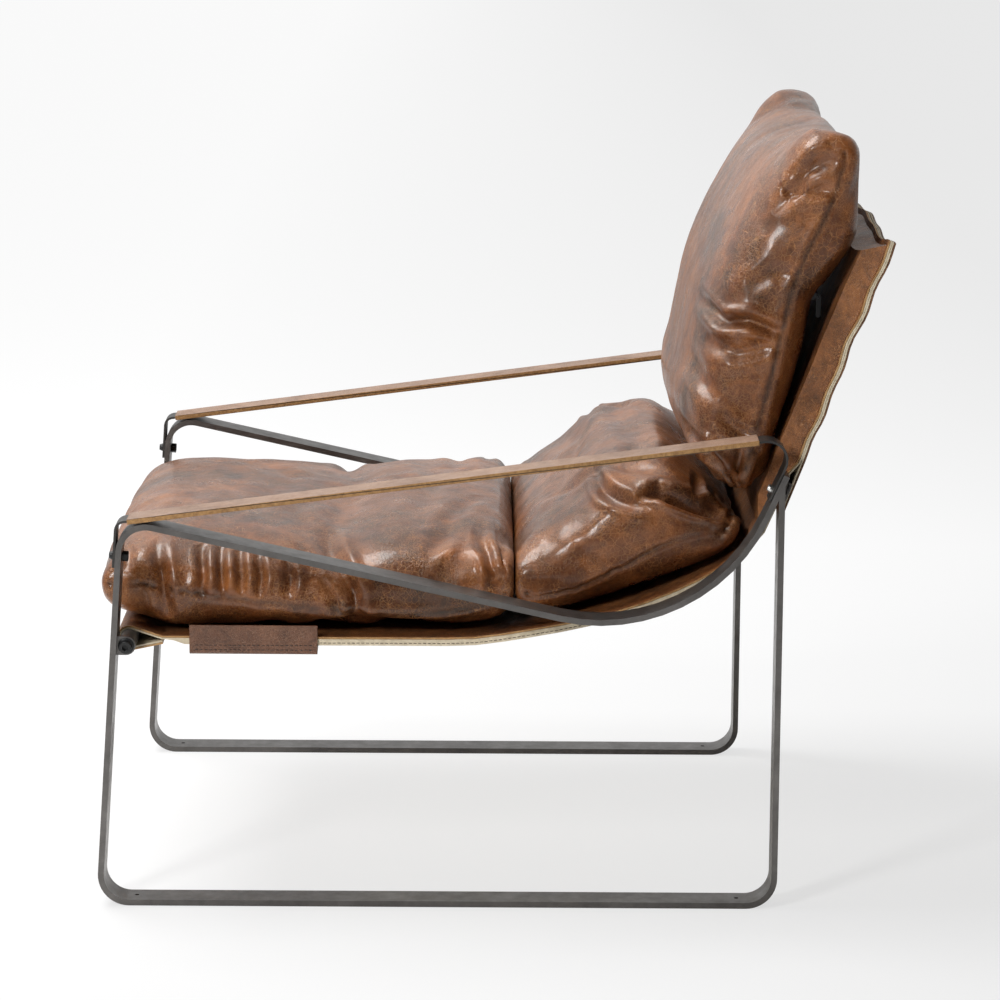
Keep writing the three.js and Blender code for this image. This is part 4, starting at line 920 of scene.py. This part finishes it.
PILLOW_FOLDS = [
    ([(692, 303), (704, 309), (723, 325), (749, 322), (784, 335)], 11, 6),
    ([(708, 345), (737, 355), (763, 348), (782, 342)], 5, 8),
    ([(692, 352), (699, 380), (715, 403)], 6, 8),
    ([(675, 428), (694, 444), (714, 456)], 8, 6),
    ([(717, 417), (736, 431), (756, 439)], 5, 6),
    ([(785, 197), (802, 183), (837, 159)], 7, 6),
    ([(776, 217), (791, 197), (822, 192), (837, 194)], 6, 6),
    ([(749, 139), (785, 145), (815, 146)], 3, 8),
    ([(742, 506), (728, 482), (707, 459), (692, 442)], 9, 6),
    ([(742, 506), (739, 476), (743, 446)], 7, 6),
    ([(742, 506), (754, 482), (764, 456)], 6, 5),
    ([(742, 506), (720, 487), (696, 474)], 6, 5),
    ([(746, 287), (773, 275), (800, 275)], 3, 8),
]
# The far flanks have the same folds, a little moved, shallower and wider
FAR_SHIFT, FAR_DEPTH, FAR_WIDTH = (9.0, -4.0), 0.8, 1.1
for obj, folds in ((seat_obj, SEAT_FOLDS), (lumbar_obj, LUMBAR_FOLDS), (pillow_obj, PILLOW_FOLDS)):
    for path, depth, width in folds:
        places = on_flank(path)
        press(obj, places, depth, width, side=1)
        press(obj, places + FAR_SHIFT, depth * FAR_DEPTH, width * FAR_WIDTH, side=-1)

# Broad folds across the tops, as (shares of the cushion's half width and of its depth, depth, width)
SEAT_TOP_FOLDS = [
    ([(-0.79, 0.27), (-0.27, 0.42), (0.31, 0.38), (0.82, 0.46)], 3, 16),
    ([(-0.86, 0.57), (-0.21, 0.61), (0.41, 0.56), (0.93, 0.61)], 3, 18),
    ([(-0.82, 0.77), (-0.14, 0.81), (0.48, 0.76), (0.90, 0.82)], 3, 14),
    ([(-0.41, 0.16), (0.14, 0.20), (0.69, 0.15)], 2.5, 14),
    ([(0.21, 0.91), (0.62, 0.84), (0.93, 0.88)], 3.5, 10),
    ([(-0.89, 0.88), (-0.41, 0.85), (0.0, 0.92)], 3, 12),
    ([(0.98, 0.53), (0.69, 0.50), (0.41, 0.46), (0.03, 0.49)], 4, 13),
]
LUMBAR_TOP_FOLDS = [
    ([(-0.83, 0.20), (-0.21, 0.30), (0.38, 0.21), (0.87, 0.32)], 4, 12),
    ([(-0.90, 0.53), (-0.24, 0.48), (0.42, 0.56), (0.91, 0.48)], 4, 12),
    ([(0.42, 0.16), (0.66, 0.40), (0.89, 0.69)], 4, 10),
    ([(-0.87, 0.32), (-0.52, 0.53), (-0.21, 0.65)], 3, 10),
]
for obj, node, folds in (
    (seat_obj, "seat_cushion", SEAT_TOP_FOLDS),
    (lumbar_obj, "lumbar_cushion", LUMBAR_TOP_FOLDS),
):
    low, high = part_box(node)
    for shares, depth, width in folds:
        path = [(high.x * x / MM, (low.y + (high.y - low.y) * y) / MM) for x, y in shares]
        press(obj, path, depth, width, ends=0.25)

# How far the sewn edges stand out
PINCH = {"seat_cushion_dressed": 2.2, "lumbar_cushion_dressed": 3.0, "back_cushion_dressed": 4.2}
# Soft unevenness all over: (scale, height) of its broad and its small lumps
BROAD_LUMPS, SMALL_LUMPS = (26, 1.6), (95, 0.5)
for obj, seams, seed in (
    (seat_obj, seat_seams, 3),
    (lumbar_obj, lumbar_seams, 5),
    (pillow_obj, pillow_seams, 8),
):
    co, facing = coords(obj), normals(obj)
    broad, small = lumps(co, BROAD_LUMPS[0], seed), lumps(co, SMALL_LUMPS[0], seed + 1)
    set_coords(obj, co + facing * ((broad * BROAD_LUMPS[1] + small * SMALL_LUMPS[1]) * MM)[:, None])
    sew(obj, seams, pinch=PINCH[obj.name])

# The seat sags onto the sling near its edges
SAG = 7 * MM
# Where it sets in, in shares of the half width, of the depth at the front and rear, and of the height
SAG_FLANK, SAG_FRONT, SAG_REAR, SAG_RISE = (0.81, 0.97), (0.04, 0.16), (0.82, 1.0), (0.15, 0.55)
co = coords(seat_obj)
low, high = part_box("seat_cushion")
along, rise = (co[:, 1] - low.y) / (high.y - low.y), (co[:, 2] - low.z) / (high.z - low.z)
flank = ease(*SAG_FLANK, np.abs(co[:, 0]) / high.x) * ease(*SAG_FRONT, along) * (1 - ease(*SAG_REAR, along))
co[:, 2] -= flank * (1 - ease(*SAG_RISE, rise)) * SAG
set_coords(seat_obj, co)

# The back cushion's top corners are boxy
EAR, EAR_LENGTH, EAR_HEIGHT = 14 * MM, 24 * MM, 30 * MM
# The shares of the half width between which a corner rises
EAR_ACROSS = (0.67, 0.88)
co = coords(pillow_obj)
peak = within("back_cushion_cover", 0.68, 0.96)
away = ((co[:, 1] - peak.y) / EAR_LENGTH) ** 2 + ((co[:, 2] - peak.z) / EAR_HEIGHT) ** 2
outward = np.abs(co[:, 0]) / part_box("back_cushion_cover")[1].x
co[:, 2] += ease(*EAR_ACROSS, outward) * np.exp(-away) * EAR
set_coords(pillow_obj, co)

# The clearances to the sling and between cushions, and where they lie on each other, in the side view
LAY_GAP, PRESS_GAP = 0.6, 0.4
LUMBAR_UNDER_FROM = 178
PILLOW_LIES_FROM, PILLOW_LIES_TO = 150, 290
seat_rear, lumbar_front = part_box("seat_cushion")[1].y / MM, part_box("lumbar_cushion")[0].y / MM


def over_sling(y):
    return sling_top(y) + LAY_GAP


def pressed(y):
    """Height of the line where the lumbar and the back cushion press on each other."""
    return np.interp(y, fold_line[:, 0], fold_line[:, 1])


def under_pillow(y):
    return np.where(y > LUMBAR_UNDER_FROM, pressed(y) - PRESS_GAP, np.inf)


def over_lumbar(y):
    return np.where((y > PILLOW_LIES_FROM) & (y < PILLOW_LIES_TO), pressed(y) + PRESS_GAP, 0)


keep_between(seat_obj, lower=over_sling, behind=lambda z: seat_rear)
keep_between(lumbar_obj, lower=over_sling, front=lambda z: lumbar_front)
keep_between(lumbar_obj, upper=under_pillow)
keep_between(pillow_obj, lower=over_lumbar, behind=sling_front)

# The zip lies in a shallow groove
GROOVE_DEPTH, GROOVE_HALF = 6 * MM, 8.5 * MM
tape_low, tape_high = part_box("back_zip_tape")
co = coords(pillow_obj)
inside = (co[:, 1] > tape_low.y - 2 * GROOVE_DEPTH) & (np.abs(co[:, 0]) < tape_high.x + GROOVE_DEPTH)
away = (co[:, 2] - (tape_low.z + tape_high.z) / 2) / GROOVE_HALF
co[:, 1] -= np.exp(-(away**4)) * inside * GROOVE_DEPTH
set_coords(pillow_obj, co)

for obj, node, fill in ((seat_obj, "seat_cushion", 0.7), (lumbar_obj, "lumbar_cushion", 0.7),
                        (pillow_obj, "back_cushion_cover", 0.75)):
    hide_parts(node)
    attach(obj, "root")
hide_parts("back_cushion_insert")

# Stitches
HEM_STITCH_RISE, BAND_INSET, PROUD = 2.7, 5, 0.1
THREAD, PALE_THREAD = 0.35, 0.4
# The panel's rows, in shares of its height and of the sling's half width
PANEL_ROW, PANEL_ROW_AT = (0.06, 0.95), 0.93
band_low, band_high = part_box("retaining_band")
hem_run = np.linspace(band_low.y, HEM_END[0] * sling_high.y, 70)
panel_low, panel_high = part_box("back_panel_leather")
panel_run = np.linspace(*PANEL_ROW, 40) * (panel_high.z - panel_low.z) + panel_low.z
rows_of_stitches = []
for side, tag in ((1, "left"), (-1, "right")):
    for k, z_share in enumerate((0.16, 0.32)):
        z = (band_low.z + (band_high.z - band_low.z) * z_share) / MM
        x = side * (band_high.x / MM + PROUD)
        ends = [(x, band_low.y / MM + BAND_INSET, z), (x, band_high.y / MM - BAND_INSET, z)]
        name = f"{tag}_band_stitches_{k}"
        rows_of_stitches.append(stitch_row(name, ends, THREAD, dark_thread, (side, 0, 0)))
    under = rays(canvas_sheet, [(side * (sling_high.x - MM), y, 0) for y in hem_run], (0, 0, 1)) / MM
    hem = under + (side, 0, HEM_STITCH_RISE)
    rows_of_stitches.append(stitch_row(f"{tag}_hem_stitches", hem, THREAD, dark_thread, (side, 0, 0)))
    beside = side * PANEL_ROW_AT * sling_high.x
    behind = rays(panel_leather, [(beside, 1, z) for z in panel_run], (0, -1, 0)) / MM
    name = f"{tag}_panel_stitches"
    rows_of_stitches.append(stitch_row(name, behind, PALE_THREAD, pale_thread, -back_front))
for obj in rows_of_stitches:
    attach(obj, "root")

# Floor, light, camera
FLOOR_HALF, FLOOR_DROP = 30000 * MM, 0.4 * MM
FLOOR_WHITE, FLOOR_GLOW, GLOW_SHARE = 0.86, 1.1, 0.76
WORLD_STRENGTH, WORLD_SEEN = 0.75, 0.94


def ranged(look, value, low, high, to_low=0.0, to_high=1.0):
    """Carries a value from one range to another."""
    node = look.node("ShaderNodeMapRange")
    for key, number in (("From Min", low), ("From Max", high), ("To Min", to_low), ("To Max", to_high)):
        node.inputs[key].default_value = number
    look.link(value, node.inputs["Value"])
    return node.outputs[0]


def floor_material():
    """White to the camera, with painted shade that makes it a little darker to the right and to the front,
    and with the chair's shadow on it.
    """
    look = Look("floor")
    rays_seen = look.node("ShaderNodeLightPath")
    shown = look.math("MAXIMUM", rays_seen.outputs["Is Camera Ray"], rays_seen.outputs["Is Transmission Ray"])
    axis = look.node("ShaderNodeSeparateXYZ")
    look.link(look.place, axis.inputs[0])
    # Painted shade: the glow dims towards the right and towards the front
    painted_shade_across = look.ramp(ranged(look, axis.outputs["Y"], -0.7, 1.2), (0.0, 1.0), (1.0, 0.83))
    painted_shade_front = ranged(look, axis.outputs["X"], -1.6, 1.3, 1.03, 0.76)
    glow = look.node("ShaderNodeEmission")
    look.link(look.math("MULTIPLY", painted_shade_across, painted_shade_front), glow.inputs["Color"])
    glow.inputs["Strength"].default_value = FLOOR_GLOW
    ground = look.node("ShaderNodeBsdfDiffuse")
    ground.inputs["Color"].default_value = (FLOOR_WHITE, FLOOR_WHITE, FLOOR_WHITE, 1)
    mixed = look.node("ShaderNodeMixShader")
    look.link(look.math("MULTIPLY", shown, GLOW_SHARE), mixed.inputs[0])
    look.link(ground.outputs[0], mixed.inputs[1])
    look.link(glow.outputs[0], mixed.inputs[2])
    look.link(mixed.outputs[0], look.tree.nodes["Material Output"].inputs["Surface"])
    return look.material


rim = [(x * FLOOR_HALF, y * FLOOR_HALF, -FLOOR_DROP) for x, y in ((-1, -1), (1, -1), (1, 1), (-1, 1))]
floor = make("floor", rim, [(0, 1, 2, 3)], floor_material(), smooth=False)
floor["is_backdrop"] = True

# A white room behind and above the chair, a darker one behind the camera
studio = bpy.data.worlds.new("studio")
studio.use_nodes = True
scene.world = studio
tree = studio.node_tree
around = tree.nodes["Background"]
around.inputs["Strength"].default_value = WORLD_STRENGTH
towards = tree.nodes.new("ShaderNodeTexCoord")
parts = tree.nodes.new("ShaderNodeSeparateXYZ")
tree.links.new(towards.outputs["Generated"], parts.inputs[0])
shade = tree.nodes.new("ShaderNodeMapRange")
for key, number in (("From Min", -0.35), ("From Max", 0.55), ("To Min", 1.0), ("To Max", 0.03)):
    shade.inputs[key].default_value = number
tree.links.new(parts.outputs["X"], shade.inputs["Value"])
tree.links.new(shade.outputs[0], around.inputs["Color"])
white = tree.nodes.new("ShaderNodeBackground")
white.inputs["Color"].default_value = (WORLD_SEEN, WORLD_SEEN, WORLD_SEEN, 1)
light_rays = tree.nodes.new("ShaderNodeLightPath")
choose = tree.nodes.new("ShaderNodeMixShader")
tree.links.new(light_rays.outputs["Is Camera Ray"], choose.inputs[0])
tree.links.new(around.outputs[0], choose.inputs[1])
tree.links.new(white.outputs[0], choose.inputs[2])
tree.links.new(choose.outputs[0], tree.nodes["World Output"].inputs["Surface"])


def softbox(name, at, towards, size, power):
    """An oblong light: places and size in metres, power in watts."""
    lamp = bpy.data.lights.new(name, "AREA")
    lamp.shape = "RECTANGLE"
    lamp.size, lamp.size_y = size
    lamp.energy = power
    obj = bpy.data.objects.new(name, lamp)
    obj.location = at
    obj.rotation_mode = "QUATERNION"
    obj.rotation_quaternion = (Vector(towards) - Vector(at)).to_track_quat("-Z", "Y")
    scene.collection.objects.link(obj)


softbox("top_box", (-0.3, -1.1, 2.5), (0, 0, 0.4), (1.6, 1.2), 74)
softbox("camera_side_box", (2.4, -1.5, 1.9), (0, 0, 0.45), (0.5, 0.85), 56)

camera_data = bpy.data.cameras.new("camera")
camera_data.sensor_width = SENSOR
camera_data.lens = LENS
camera_data.clip_end = 100
camera = bpy.data.objects.new("camera", camera_data)
pose = Matrix((right, up, -forward)).transposed().to_4x4()
pose.translation = EYE
camera.matrix_world = pose
scene.collection.objects.link(camera)
scene.camera = camera
scene.view_settings.view_transform = "Standard"

low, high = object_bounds()
